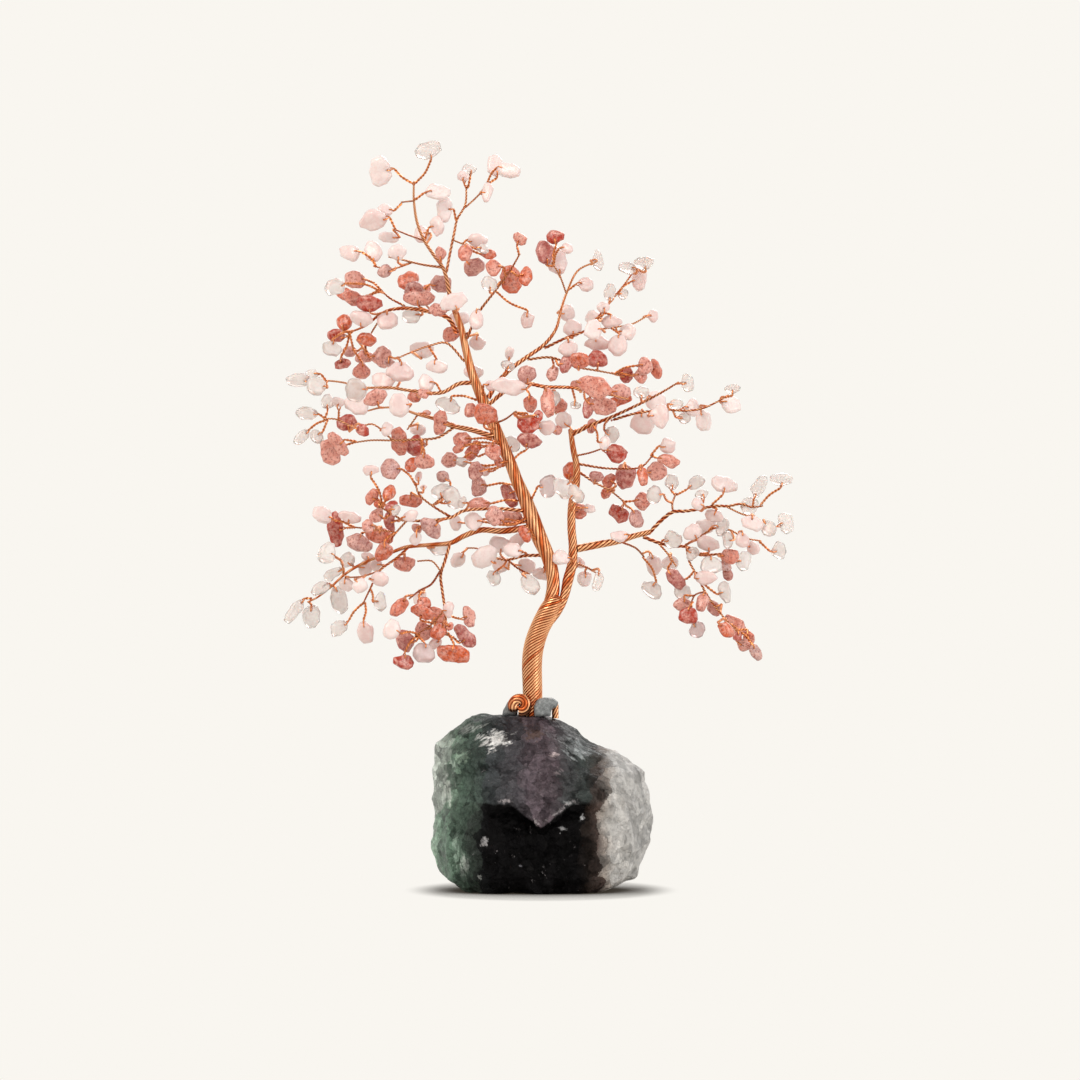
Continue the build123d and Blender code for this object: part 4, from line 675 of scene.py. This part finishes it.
def tie_points(count, pairs):
    """Tie points together in sets, pair by pair: for each point, the name of its set."""
    parents = list(range(count))
    for first, second in pairs:
        parents[find_root(parents, first)] = find_root(parents, second)
    return np.array([find_root(parents, index) for index in range(count)])


# %% Middle lines of the model's wires
RING_REACH = 0.7


def read_wires(name):
    """The middle line of every wire in a node: the centres of its rings of points, in order."""
    mesh = frame["nodes"][name].data
    co = np.zeros(len(mesh.vertices) * 3, np.float32)
    mesh.vertices.foreach_get("co", co)
    places, same = np.unique(np.round(co.reshape(-1, 3) / MM, 4), axis=0, return_inverse=True)
    edges = np.zeros(len(mesh.edges) * 2, np.int32)
    mesh.edges.foreach_get("vertices", edges)
    edges = np.unique(np.sort(same.reshape(-1)[edges].reshape(-1, 2), axis=1), axis=0)
    long_edge = np.linalg.norm(places[edges[:, 0]] - places[edges[:, 1]], axis=1) > RING_REACH
    rings = tie_points(len(places), edges[~long_edge])
    centres = {ring: places[rings == ring].mean(axis=0) for ring in np.unique(rings)}
    linked = {ring: set() for ring in centres}
    for first, second in rings[edges[long_edge]]:
        linked[first].add(second)
        linked[second].add(first)
    lines = []
    used = set()
    for ring in sorted(centres):
        if len(linked[ring]) == 1 and ring not in used:
            chain = [ring]
            while True:
                onward = [other for other in linked[chain[-1]] if other not in chain]
                if not onward:
                    break
                chain.append(onward[0])
            used.update(chain)
            lines.append([centres[ring] for ring in chain])
    return lines


# %% Twist a wire and lead it through its chip
WIRE = 0.32
TWIST = 3.0
TWIST_STEPS = 6
SHOWN_WIRE = 0.58
CORNER_ROUNDS = 2


def cut_corners(points, rounds):
    """Round a bent line off by cutting its corners, the ends staying where they are."""
    for _ in range(rounds):
        cut = [points[0]]
        for a, b in zip(points, points[1:]):
            cut += [a * 0.75 + b * 0.25, a * 0.25 + b * 0.75]
        points = cut + [points[-1]]
    return points


def twist_wire(twig, eye):
    """One wire: up the twig, round through the chip's hole and back down, twisted with itself."""
    apex = (eye[0] + eye[-1]) / 2
    if np.linalg.norm(twig[0] - apex) < np.linalg.norm(twig[-1] - apex):
        twig = twig[::-1]
    twig = [twig[0] - unit(twig[1] - twig[0]) * ROOT_OVERLAP / 2, *twig]
    route = [spot for spot, radius in smooth_route(twig, [WIRE] * len(twig), TWIST / TWIST_STEPS / WIRE)]
    steps = [np.linalg.norm(b - a) for a, b in zip(route, route[1:])]
    across = unit(eye[1] - eye[-2])
    first, second = [], []
    for index, spot in enumerate(route):
        way = unit(route[min(index + 1, len(route) - 1)] - route[max(index - 1, 0)])
        side = unit(across - way * np.dot(across, way))
        angle = 2 * math.pi * sum(steps[index:]) / TWIST
        off = (math.cos(angle) * side + math.sin(angle) * np.cross(way, side)) * SHOWN_WIRE / 2
        first.append(spot + off)
        second.append(spot - off)
    loop = cut_corners([first[-1], *eye, second[-1]], CORNER_ROUNDS)
    return first[:-1] + loop + second[-2::-1]


# %% Wires of every limb
EYE_BENDS = 6


def end_gap(line, spot):
    """How far a point is from the nearer end of a line."""
    return min(np.linalg.norm(line[0] - spot), np.linalg.norm(line[-1] - spot))


for group in GROUPS:
    lines = read_wires(group + "_twigs")
    eyes = [line for line in lines if len(line) == EYE_BENDS]
    twigs = [line for line in lines if len(line) != EYE_BENDS]
    curve = new_curve(group + "_wires", bevel_depth=SHOWN_WIRE / 2 * MM, bevel_resolution=1)
    for eye in eyes:
        apex = (eye[0] + eye[-1]) / 2
        twig = min(twigs, key=lambda line: end_gap(line, apex))
        add_line(curve, twist_wire(twig, eye))
    wires = join_pieces(group + "_wires", [mesh_of(group + "_wires", curve)])
    settle(wires, twig_copper, "copper_wire", body_of(group), group + "_twigs")

# %% [markdown]
# ## Quartz
# The pale chips are rose quartz, milky and faintly pink, and a few clear ones. The red chips are
# strawberry quartz: salmon red with darker grains, a few of them deep red or mauve. All were tumbled
# until they shone. Light goes a little way into the stone, so each shader scatters it under the
# surface and lets some through.

# %% Which chips differ from the others of their kind
# A chip's tone picks its colour: ordinary up to the second stop, clear or dark up to the third, then mauve
TONE_STOPS = (0.0, 0.3, 0.6)
LISTED_TONE = 0.4
MAUVE_TONE = 0.8
CLEAR_PX = [
    (429, 151), (470, 167), (483, 249), (335, 288), (411, 314), (331, 348), (299, 382), (313, 375),
    (318, 388), (357, 390), (328, 402), (307, 413), (302, 438), (318, 437), (398, 510), (441, 490),
    (453, 499), (462, 503), (331, 452), (330, 552), (347, 560), (332, 574), (320, 589), (295, 611),
    (312, 617), (339, 600), (382, 602), (340, 628), (439, 549), (461, 462), (512, 444), (448, 405),
    (490, 285), (599, 257), (627, 267), (645, 262), (610, 292), (624, 291), (508, 365), (554, 400),
    (575, 406), (563, 488), (576, 494), (640, 394), (686, 384), (675, 406), (683, 418), (730, 391),
    (612, 435), (672, 481), (697, 482), (702, 494), (655, 494), (758, 486), (750, 507), (782, 480),
    (786, 523), (767, 529), (674, 540), (722, 528), (728, 540), (781, 550), (747, 562), (693, 554),
    (711, 566), (683, 592), (725, 593), (653, 590), (493, 578), (531, 584), (598, 582),
]
DARK_PX = [
    (346, 422), (365, 431), (416, 445), (370, 303), (335, 334), (341, 363), (392, 506), (391, 522),
    (336, 529), (407, 640), (405, 660), (466, 636), (508, 495), (528, 425), (530, 440), (538, 418),
    (545, 251), (556, 236), (566, 365), (598, 358), (628, 374), (588, 409), (617, 454), (627, 476),
    (619, 513), (677, 579), (688, 615), (737, 636),
]
MAUVE_PX = [
    (386, 272), (473, 267), (413, 290), (440, 282), (346, 348), (388, 362), (392, 470), (360, 543),
    (432, 528), (443, 476), (476, 470), (478, 487), (527, 375), (597, 477), (636, 519), (726, 566),
    (729, 574), (716, 609), (755, 652), (549, 486), (426, 652), (697, 630),
]


# %% Quartz finishes
def quartz_finish(name, tones, veil, veil_share, grain, grain_share, through):
    """Tumbled quartz whose colour, by chip, comes from its tone, with cloudy veils and fine grains."""
    made, tree = new_material(name)
    place = node(tree, "TexCoord").outputs["Object"]
    tone = node(tree, "Attribute", attribute_name="tone").outputs["Fac"]
    chance = node(tree, "Attribute", attribute_name="chance").outputs["Fac"]
    body = node(tree, "ValToRGB", {0: tone}, stops=list(zip(TONE_STOPS, tones)))
    body.color_ramp.interpolation = "CONSTANT"
    light = node(tree, "MapRange", {"Value": chance, "To Min": 0.92, "To Max": 1.06})
    vivid = node(tree, "MapRange", {"Value": chance, "To Min": 1.35, "To Max": 0.75})
    body = node(tree, "HueSaturation", {"Color": body, "Value": light, "Saturation": vivid})
    cloud = node(tree, "TexNoise", {"Vector": place, "Scale": 1 / (2.4 * MM), "Detail": 5.0,
                                    "Roughness": 0.65})
    milky = node(tree, "MapRange", {"Value": cloud, "From Min": 0.42, "From Max": 0.66,
                                    "To Max": veil_share})
    body = node(tree, "Mix", {0: milky, 6: body, 7: linear(veil)}, data_type="RGBA")
    fine = node(tree, "TexNoise", {"Vector": place, "Scale": 1 / (0.9 * MM), "Detail": 4.0, "Roughness": 0.7})
    grains = node(tree, "MapRange", {"Value": fine, "From Min": 0.5, "From Max": 0.62,
                                     "To Max": grain_share})
    body = node(tree, "Mix", {0: grains, 6: body, 7: linear(grain)}, data_type="RGBA")
    clear = node(tree, "MapRange", {"Value": tone, "From Max": LISTED_TONE, "To Min": through[0],
                                    "To Max": through[1]})
    bump = node(tree, "Bump", {"Height": fine, "Strength": 0.2, "Distance": 0.12 * MM})
    rough = node(tree, "MapRange", {"Value": cloud, "To Min": 0.12, "To Max": 0.34})
    shader = node(tree, "BsdfPrincipled", {
        "Base Color": body, "Roughness": rough, "IOR": 1.54, "Transmission Weight": clear,
        "Subsurface Weight": 0.35, "Subsurface Radius": (1.0, 0.75, 0.65), "Subsurface Scale": 1.0 * MM,
        "Normal": bump})
    node(tree, "OutputMaterial", {"Surface": shader})
    return made


# Rose quartz: a soft, milky pink that light enters, so that a chip glows at its edges
pale_quartz = quartz_finish("tumbled_rose_quartz", ("#F0DAD8", "#F6EFEC", "#DFC4C3"), "#F6ECE9", 0.55,
                            "#E0C0BC", 0.3, (0.1, 0.6))
# Strawberry quartz: dark grains in cloudy salmon, so that a chip reads as mottled from far away
red_quartz = quartz_finish("tumbled_strawberry_quartz", ("#E08D79", "#B43E2D", "#C08F89"), "#F2C3B6", 0.7,
                           "#8A2B1D", 0.7, (0.15, 0.05))
print("quartz", pale_quartz.name, red_quartz.name)


# %% Modifiers and copies
def add_modifier(piece, kind, **settings):
    """Add a modifier, set it and apply it."""
    made = piece.modifiers.new(kind, kind)
    for name, value in settings.items():
        setattr(made, name, value)
    bpy.ops.object.modifier_apply(modifier=made.name)


def copy_solid(node_name, name):
    """A copy of a CAD node's mesh with its loose triangles joined up."""
    piece = add_object(name, frame["nodes"][node_name].data.copy())
    select_only(piece)
    bpy.ops.object.mode_set(mode="EDIT")
    bpy.ops.mesh.select_all(action="SELECT")
    bpy.ops.mesh.remove_doubles(threshold=0.001 * MM)
    bpy.ops.object.mode_set(mode="OBJECT")
    return piece


# %% Which chip a point is on, and its tone
LISTED_WITHIN_PX = 3


def chip_places(mesh):
    """For each point of a mesh, which chip it belongs to, and each chip's middle."""
    names = tie_points(len(mesh.vertices), [edge.vertices for edge in mesh.edges])
    co = np.array([vertex.co for vertex in mesh.vertices])
    chips, which = np.unique(names, return_inverse=True)
    of_chip = [co[which == chip] for chip in range(len(chips))]
    middles = [(points.max(axis=0) + points.min(axis=0)) / 2 for points in of_chip]
    return which, np.array(middles) / MM


def tone_of(middle, kind):
    """The tone of a chip, by the list that it stands in, and 0 for an ordinary one."""
    lists = ((LISTED_TONE, CLEAR_PX if kind == "pale" else DARK_PX), (MAUVE_TONE, MAUVE_PX))
    for tone, places in lists:
        for x, y in places:
            if np.linalg.norm((middle - place_px(x, y))[[0, 2]]) < LISTED_WITHIN_PX * PIXEL:
                return tone
    return 0.0


# %% Tumble the model's chips
TUMBLE_GRAIN = 0.36
LUMP = 6.5
LUMP_HEIGHT = 2.2
FACES_KEPT = 0.15
lumps = bpy.data.textures.new("tumbled_lumps", "CLOUDS")
lumps.noise_scale = LUMP * MM
lumps.noise_depth = 1


def tumble_chips(group, kind, material, slot):
    """Round off every chip of a node, and mark each with its tone and a chance of its own."""
    cad_name = f"{group}_{kind}_chips"
    piece = copy_solid(cad_name, f"{group}_{kind}_quartz")
    which, middles = chip_places(piece.data)
    finder = kdtree.KDTree(len(piece.data.vertices))
    for index, vertex in enumerate(piece.data.vertices):
        finder.insert(vertex.co, index)
    finder.balance()
    add_modifier(piece, "REMESH", mode="VOXEL", voxel_size=TUMBLE_GRAIN * MM)
    add_modifier(piece, "SMOOTH", factor=0.5, iterations=5)
    add_modifier(piece, "DISPLACE", texture=lumps, strength=LUMP_HEIGHT * MM, mid_level=0.46)
    add_modifier(piece, "SMOOTH", factor=0.5, iterations=2)
    add_modifier(piece, "DECIMATE", ratio=FACES_KEPT)
    bpy.ops.object.shade_smooth()
    chance = np.random.default_rng(len(middles)).random(len(middles))
    tones = np.array([tone_of(middle, kind) for middle in middles])
    owner = np.array([which[finder.find(vertex.co)[1]] for vertex in piece.data.vertices])
    mark(piece, tone=tones[owner], chance=chance[owner])
    settle(piece, material, slot, body_of(group), cad_name)


for group in GROUPS:
    tumble_chips(group, "pale", pale_quartz, "rose_quartz")
    if group + "_red_chips" in frame["nodes"]:
        tumble_chips(group, "red", red_quartz, "strawberry_quartz")

# %% [markdown]
# ## The stone
# The base is a raw block of fluorite, broken and not cut: flat cleaved faces, stepped edges and a
# rough skin. It is banded in green, violet, near black and milky white.

# %% Fluorite zones
STONE_LEFT_PX = 430
STONE_RIGHT_PX = 655
LEDGE_TIP_PX = (541, 824)
LEDGE_SLOPE = 0.76
LEDGE_RISE_PX = 24
LEDGE_FADES = (5, -12)
FACET = 6.0
MIDDLE_GREY = (0.5, 0.5, 0.5)
# Fluorite: bands of green, violet, near black and milky white, with painted light and shade on each
# facet and a tilt at each break
fluorite, tree = new_material("raw_banded_fluorite")
place = node(tree, "TexCoord").outputs["Object"]
wander = node(tree, "TexNoise", {"Vector": place, "Scale": 1 / (14 * MM), "Detail": 6.0, "Roughness": 0.65})
offset = node(tree, "VectorMath", {0: wander.outputs["Color"], 1: MIDDLE_GREY}, operation="SUBTRACT")
offset = node(tree, "VectorMath", {0: offset, "Scale": 12 * MM}, operation="SCALE")
bent = node(tree, "VectorMath", {0: place, 1: offset}, operation="ADD")
facets = node(tree, "TexVoronoi", {"Vector": bent, "Scale": 1 / (FACET * MM)})
stepped = node(tree, "Mix", {0: 0.45, 4: bent, 5: facets.outputs["Position"]}, data_type="VECTOR")
split = node(tree, "SeparateXYZ", {"Vector": stepped})
across = node(tree, "MapRange", {"Value": split.outputs["X"],
                                 "From Min": place_px(STONE_LEFT_PX, 0)[0] * MM,
                                 "From Max": place_px(STONE_RIGHT_PX, 0)[0] * MM})
low = node(tree, "ValToRGB", {0: across}, stops=[
    (0.0, "#8AA292"), (0.05, "#6E8677"), (0.08, "#4E6456"), (0.155, "#3B4D42"), (0.2, "#29312C"),
    (0.235, "#131415"), (0.27, "#080708"), (0.66, "#080708"), (0.71, "#1B1512"), (0.75, "#463833"),
    (0.782, "#8D857F"), (0.81, "#B3B1AF"), (1.0, "#B9B8B7")])
high = node(tree, "ValToRGB", {0: across}, stops=[
    (0.0, "#B6BEBA"), (0.05, "#A2ADA6"), (0.09, "#63786A"), (0.14, "#42554A"), (0.2, "#35433C"),
    (0.27, "#2F3436"), (0.38, "#3C393E"), (0.44, "#4B4148"), (0.53, "#51454C"), (0.6, "#37383A"),
    (0.69, "#2B3130"), (0.745, "#3A2F2B"), (0.782, "#8D857F"), (0.81, "#B3B1AF"), (1.0, "#B9B8B7")])
tip = place_px(*LEDGE_TIP_PX)
plain = node(tree, "SeparateXYZ", {"Vector": place})
aside = node(tree, "Math", {0: plain.outputs["X"], 1: tip[0] * MM}, operation="SUBTRACT")
aside = node(tree, "Math", {0: aside}, operation="ABSOLUTE")
rise = node(tree, "Math", {0: aside, 1: LEDGE_SLOPE}, operation="MULTIPLY")
rise = node(tree, "Math", {0: rise, 1: LEDGE_RISE_PX * PIXEL * MM}, operation="MINIMUM")
front = node(tree, "MapRange", {"Value": plain.outputs["Y"], "From Min": LEDGE_FADES[0] * MM,
                                "From Max": LEDGE_FADES[1] * MM})
rise = node(tree, "Math", {0: rise, 1: front}, operation="MULTIPLY")
above = node(tree, "Math", {0: plain.outputs["Z"], 1: rise}, operation="SUBTRACT")
ragged = node(tree, "MapRange", {"Value": front, "To Min": 2.0, "To Max": 0.5})
jag = node(tree, "Math", {0: offset, 1: ragged}, operation="MULTIPLY")
above = node(tree, "Math", {0: above, 1: jag}, operation="ADD")
upper = node(tree, "MapRange", {"Value": above, "From Min": (tip[2] - 0.5) * MM,
                                "From Max": (tip[2] + 0.3) * MM})
colour = node(tree, "Mix", {0: upper, 6: low, 7: high}, data_type="RGBA")

# %% Crystals and a painted highlight along the ledge
LEDGE_SHEEN_PX = (30, 56)
patches = node(tree, "TexNoise", {"Vector": stepped, "Scale": 1 / (3.5 * MM), "Detail": 7.0,
                                  "Roughness": 0.78})
edge = node(tree, "Math", {0: above, 1: (tip[2] + 0.9) * MM}, operation="SUBTRACT")
edge = node(tree, "Math", {0: edge}, operation="ABSOLUTE")
edge = node(tree, "MapRange", {"Value": edge, "From Max": 2.4 * MM, "To Min": 0.15, "To Max": 0.0})
near = node(tree, "MapRange", {"Value": aside, "From Min": LEDGE_SHEEN_PX[1] * PIXEL * MM,
                               "From Max": LEDGE_SHEEN_PX[0] * PIXEL * MM})
edge = node(tree, "Math", {0: edge, 1: near}, operation="MULTIPLY")
edge = node(tree, "Math", {0: edge, 1: front}, operation="MULTIPLY")
# Painted highlight: the pale colour along the ledge's rim is partly pale crystals and partly light caught on
# the rim
sheen = node(tree, "Math", {0: patches, 1: edge}, operation="ADD")
sheen = node(tree, "MapRange", {"Value": sheen, "From Min": 0.63, "From Max": 0.72, "To Max": 0.85})
colour = node(tree, "Mix", {0: sheen, 6: colour, 7: linear("#A39C9F")}, data_type="RGBA")

# %% Veins, streaks and flakes
VEIN_DEPTH = -20
VEIN_HALF_DEPTH = 30
STREAK = 1.5
# Each one: its middle and half size in pixels, how it leans, how far its streaks are drawn out, its
# colour and how much of it shows
VEINS = [
    ((493, 738), (24, 13), -33, 5, "#C6C6C6", 0.9), ((462, 756), (12, 12), 0, 1, "#8AA08F", 0.75),
    ((446, 782), (8, 36), 88, 6, "#B4BAB5", 0.85), ((470, 726), (26, 7), -25, 5, "#9BA19E", 0.8),
    ((583, 746), (32, 15), 27, 7, "#8E9496", 0.8), ((543, 788), (20, 18), 0, 1, "#6C5F67", 0.6),
    ((535, 730), (19, 12), 0, 1, "#46352F", 0.85), ((552, 750), (8, 6), 27, 2, "#A39496", 0.9),
    ((556, 768), (7, 6), 27, 2, "#8E8084", 0.7), ((487, 839), (8, 7), 40, 2, "#A5A3A6", 0.9),
    ((519, 861), (6, 4), 40, 2, "#7E7C84", 0.8), ((464, 862), (8, 22), 80, 5, "#98A09B", 0.7),
    ((482, 874), (6, 5), 0, 1, "#8F9391", 0.8), ((582, 813), (5, 6), 60, 2, "#A9A9AC", 0.8),
    ((563, 826), (7, 4), 0, 1, "#8F8F92", 0.8), ((568, 801), (12, 6), 30, 2, "#8C9092", 0.7),
    ((600, 794), (9, 12), 88, 3, "#251D1A", 0.9), ((622, 858), (14, 18), 60, 3, "#DAD8D5", 0.6),
    ((625, 800), (16, 16), 70, 3, "#A9A5A1", 0.6), ((455, 845), (5, 34), 88, 7, "#8FA396", 0.5),
]
for index, (vein_px, half_px, lean, drawn_out, vein_colour, share) in enumerate(VEINS):
    middle = place_px(*vein_px, VEIN_DEPTH) * MM
    half = (half_px[0] * PIXEL, VEIN_HALF_DEPTH, half_px[1] * PIXEL)
    away = node(tree, "VectorMath", {0: bent, 1: list(middle)}, operation="SUBTRACT")
    away = node(tree, "VectorMath", {0: away, 1: [1 / (size * MM) for size in half]}, operation="MULTIPLY")
    away = node(tree, "VectorMath", {0: away}, operation="LENGTH")
    inside = node(tree, "MapRange", {"Value": away, "From Min": 1.4, "From Max": 0.3,
                                     "To Min": -0.25, "To Max": 0.24})
    along = node(tree, "Mapping", {"Vector": place, "Location": (index * MM, 0, 0),
                                   "Rotation": (0, math.radians(lean), 0), "Scale": (drawn_out, 1, 1)},
                 vector_type="TEXTURE")
    streak = node(tree, "TexNoise", {"Vector": along, "Scale": 1 / (STREAK * MM), "Detail": 6.0,
                                      "Roughness": 0.65})
    streak = node(tree, "Math", {0: streak, 1: inside}, operation="ADD")
    streak = node(tree, "MapRange", {"Value": streak, "From Min": 0.6, "From Max": 0.76, "To Max": share})
    colour = node(tree, "Mix", {0: streak, 6: colour, 7: linear(vein_colour)}, data_type="RGBA")

# %% Facets, crumbs and gloss
CRUMB = 1.9
mottle = node(tree, "TexNoise", {"Vector": place, "Scale": 1 / (2.2 * MM), "Detail": 7.0, "Roughness": 0.75,
                                 "Distortion": 0.8})
shift = node(tree, "MapRange", {"Value": mottle, "From Min": 0.3, "From Max": 0.7,
                                "To Min": 0.66, "To Max": 1.3})
cloud = node(tree, "TexNoise", {"Vector": bent, "Scale": 1 / (8 * MM), "Detail": 3.0})
cloudy = node(tree, "MapRange", {"Value": cloud, "From Min": 0.35, "From Max": 0.62,
                                 "To Min": 0.74, "To Max": 1.12})
shift = node(tree, "Math", {0: shift, 1: cloudy}, operation="MULTIPLY")
crumbs = node(tree, "TexVoronoi", {"Vector": bent, "Scale": 1 / (CRUMB * MM)})
# Painted light and shade: each facet and crumb is lightened or darkened at random, as facets turned towards
# or away from the lamps look
for cells, spread in ((facets, 0.5), (crumbs, 0.3)):
    painted_facet_light = node(tree, "RGBToBW", {"Color": cells.outputs["Color"]})
    painted_facet_light = node(tree, "MapRange", {"Value": painted_facet_light, "From Min": 0.2, "From Max": 0.8,
                                  "To Min": 1 - spread * 0.8, "To Max": 1 + spread})
    shift = node(tree, "Math", {0: shift, 1: painted_facet_light}, operation="MULTIPLY")
calm = node(tree, "MapRange", {"Value": across, "From Min": 0.77, "From Max": 0.82, "To Max": 0.45})
shift = node(tree, "Mix", {0: calm, 2: shift, 3: 1.0})
colour = node(tree, "HueSaturation", {"Color": colour, "Value": shift})
tilts = []
for cells in (facets, crumbs):
    inner = node(tree, "VectorMath", {0: bent, 1: cells.outputs["Position"]}, operation="SUBTRACT")
    lean = node(tree, "VectorMath", {0: cells.outputs["Color"], 1: MIDDLE_GREY}, operation="SUBTRACT")
    tilts.append(node(tree, "VectorMath", {0: inner, 1: lean}, operation="DOT_PRODUCT"))
height = node(tree, "Math", {0: tilts[0], 1: tilts[1]}, operation="ADD")
bump = node(tree, "Bump", {"Height": height, "Strength": 0.9, "Distance": 1.0})
grit = node(tree, "Bump", {"Height": mottle, "Strength": 0.35, "Distance": 0.5 * MM, "Normal": bump})
rough = node(tree, "MapRange", {"Value": patches, "From Min": 0.35, "From Max": 0.65,
                                "To Min": 0.25, "To Max": 0.6})
pale = node(tree, "RGBToBW", {"Color": colour})
level = node(tree, "MapRange", {"Value": pale, "From Max": 0.08, "To Min": 0.05, "To Max": 0.4})
shader = node(tree, "BsdfPrincipled", {"Base Color": colour, "Roughness": rough, "IOR": 1.43,
                                       "Specular IOR Level": level, "Normal": grit})
node(tree, "OutputMaterial", {"Surface": shader})
print(fluorite.name, len(tree.nodes), "nodes")

# %% Break the stone's faces
STONE_GRAIN = 0.9
STEP_SIZE = 9
STEP_HEIGHT = 1.4
SKIN_SIZE = 4
SKIN_HEIGHT = 0.9
STONE_CREASE = 25
stone = copy_solid("base_stone", "fluorite_block")
steps = bpy.data.textures.new("cleaved_steps", "VORONOI")
steps.noise_scale = STEP_SIZE * MM
steps.distance_metric = "MANHATTAN"
skin = bpy.data.textures.new("broken_skin", "CLOUDS")
skin.noise_scale = SKIN_SIZE * MM
skin.noise_depth = 3
add_modifier(stone, "REMESH", mode="VOXEL", voxel_size=STONE_GRAIN * MM)
add_modifier(stone, "DISPLACE", texture=steps, strength=STEP_HEIGHT * MM, mid_level=0.8)
add_modifier(stone, "DISPLACE", texture=skin, strength=SKIN_HEIGHT * MM, mid_level=0.6)
for vertex in stone.data.vertices:
    vertex.co.z = max(vertex.co.z, 0.0)
bpy.ops.object.shade_smooth_by_angle(angle=math.radians(STONE_CREASE))
settle(stone, fluorite, "fluorite", "tree", "base_stone")

# %% [markdown]
# ## The foot
# Two worn grey pebbles are wedged beside the trunk, and the ends of its wires are bent round in a
# bundle in front of it, with one short end beside the right pebble.

# %% Pebbles
PEBBLE_GRAIN = 0.35
PEBBLE_LUMP = 0.9
# Pebble: speckled dull grey, which sets the copper and the dark stone apart
pebble_stone, tree = new_material("worn_grey_pebble")
place = node(tree, "TexCoord").outputs["Object"]
speckle = node(tree, "TexNoise", {"Vector": place, "Scale": 1 / (1.0 * MM), "Detail": 5.0, "Roughness": 0.7})
tone = node(tree, "ValToRGB", {0: speckle}, stops=[(0.3, "#55585A"), (0.55, "#808486"), (0.8, "#AFB2B2")])
bump = node(tree, "Bump", {"Height": speckle, "Strength": 0.4, "Distance": 0.3 * MM})
shader = node(tree, "BsdfPrincipled", {"Base Color": tone, "Roughness": 0.5, "Normal": bump})
node(tree, "OutputMaterial", {"Surface": shader})
for side in ("left", "right"):
    pebble = copy_solid("pebble_" + side, "worn_pebble_" + side)
    add_modifier(pebble, "REMESH", mode="VOXEL", voxel_size=PEBBLE_GRAIN * MM)
    add_modifier(pebble, "SMOOTH", factor=0.5, iterations=10)
    add_modifier(pebble, "DISPLACE", texture=lumps, strength=PEBBLE_LUMP * MM, mid_level=0.45)
    bpy.ops.object.shade_smooth()
    settle(pebble, pebble_stone, "pebble", "tree", "pebble_" + side)

# %% Glue
# Glue: amber and glossy, seen only down in the socket
glue, tree = new_material("cured_clear_glue")
place = node(tree, "TexCoord").outputs["Object"]
drift = node(tree, "TexNoise", {"Vector": place, "Scale": 1 / (2.0 * MM)})
tone = node(tree, "ValToRGB", {0: drift}, stops=[(0.3, "#CFC5A8"), (0.7, "#E6DFC8")])
shader = node(tree, "BsdfPrincipled", {"Base Color": tone, "Roughness": 0.25, "Transmission Weight": 0.3})
node(tree, "OutputMaterial", {"Surface": shader})
dress(frame["nodes"]["foot_glue"], glue)
print("glue", glue.name)

# %% Root bundles
ROOT_CURL = 4.2
ROOT_CURL_SHOWN = 4.7
ROOT_CURL_PX = (519.5, 705)
ROOT_CURL_BEND_PX = 6
ROOT_CURL_START = -100
ROOT_CURL_TURN = 310
ROOT_CURL_PARTS = 14
ROOT_CURL_LAY = 2.2
ROOT_TAIL_PX = [(555.2, 718, 7.0), (555.2, 704.5, 7.0)]
curl_middle = place_px(*ROOT_CURL_PX, -trunk_radii[0] - SEAT_GAP - ROOT_CURL / 2)
bend = ROOT_CURL_BEND_PX * PIXEL
curl_points = []
for part in range(ROOT_CURL_PARTS + 1):
    turn = math.radians(ROOT_CURL_START + ROOT_CURL_TURN * part / ROOT_CURL_PARTS)
    curl_points.append(curl_middle + bend * np.array([math.cos(turn), 0, math.sin(turn)]))
curl_radii = [ROOT_CURL_SHOWN / 2] * len(curl_points)
curl = lay_rope("root_curl_rope", curl_points, curl_radii, 1, ROOT_CURL_LAY)
settle_ropes("root_curl_rope", [curl], "tree", "foot_root_curl")
tail_points = [place_px(x, y, -trunk_radii[0] + SEAT_GAP) for x, y, width in ROOT_TAIL_PX]
tail = lay_rope("root_tail_rope", tail_points, radii_px(ROOT_TAIL_PX), 1, LIMB_LAY)
settle_ropes("root_tail_rope", [tail], "tree", "root_tail")

# %% [markdown]
# ## Finish
# The rope sections have done their work and go.

# %% Finish
for made in [made for made in bpy.data.objects if made.name.startswith("rope_section")]:
    bpy.data.objects.remove(made)
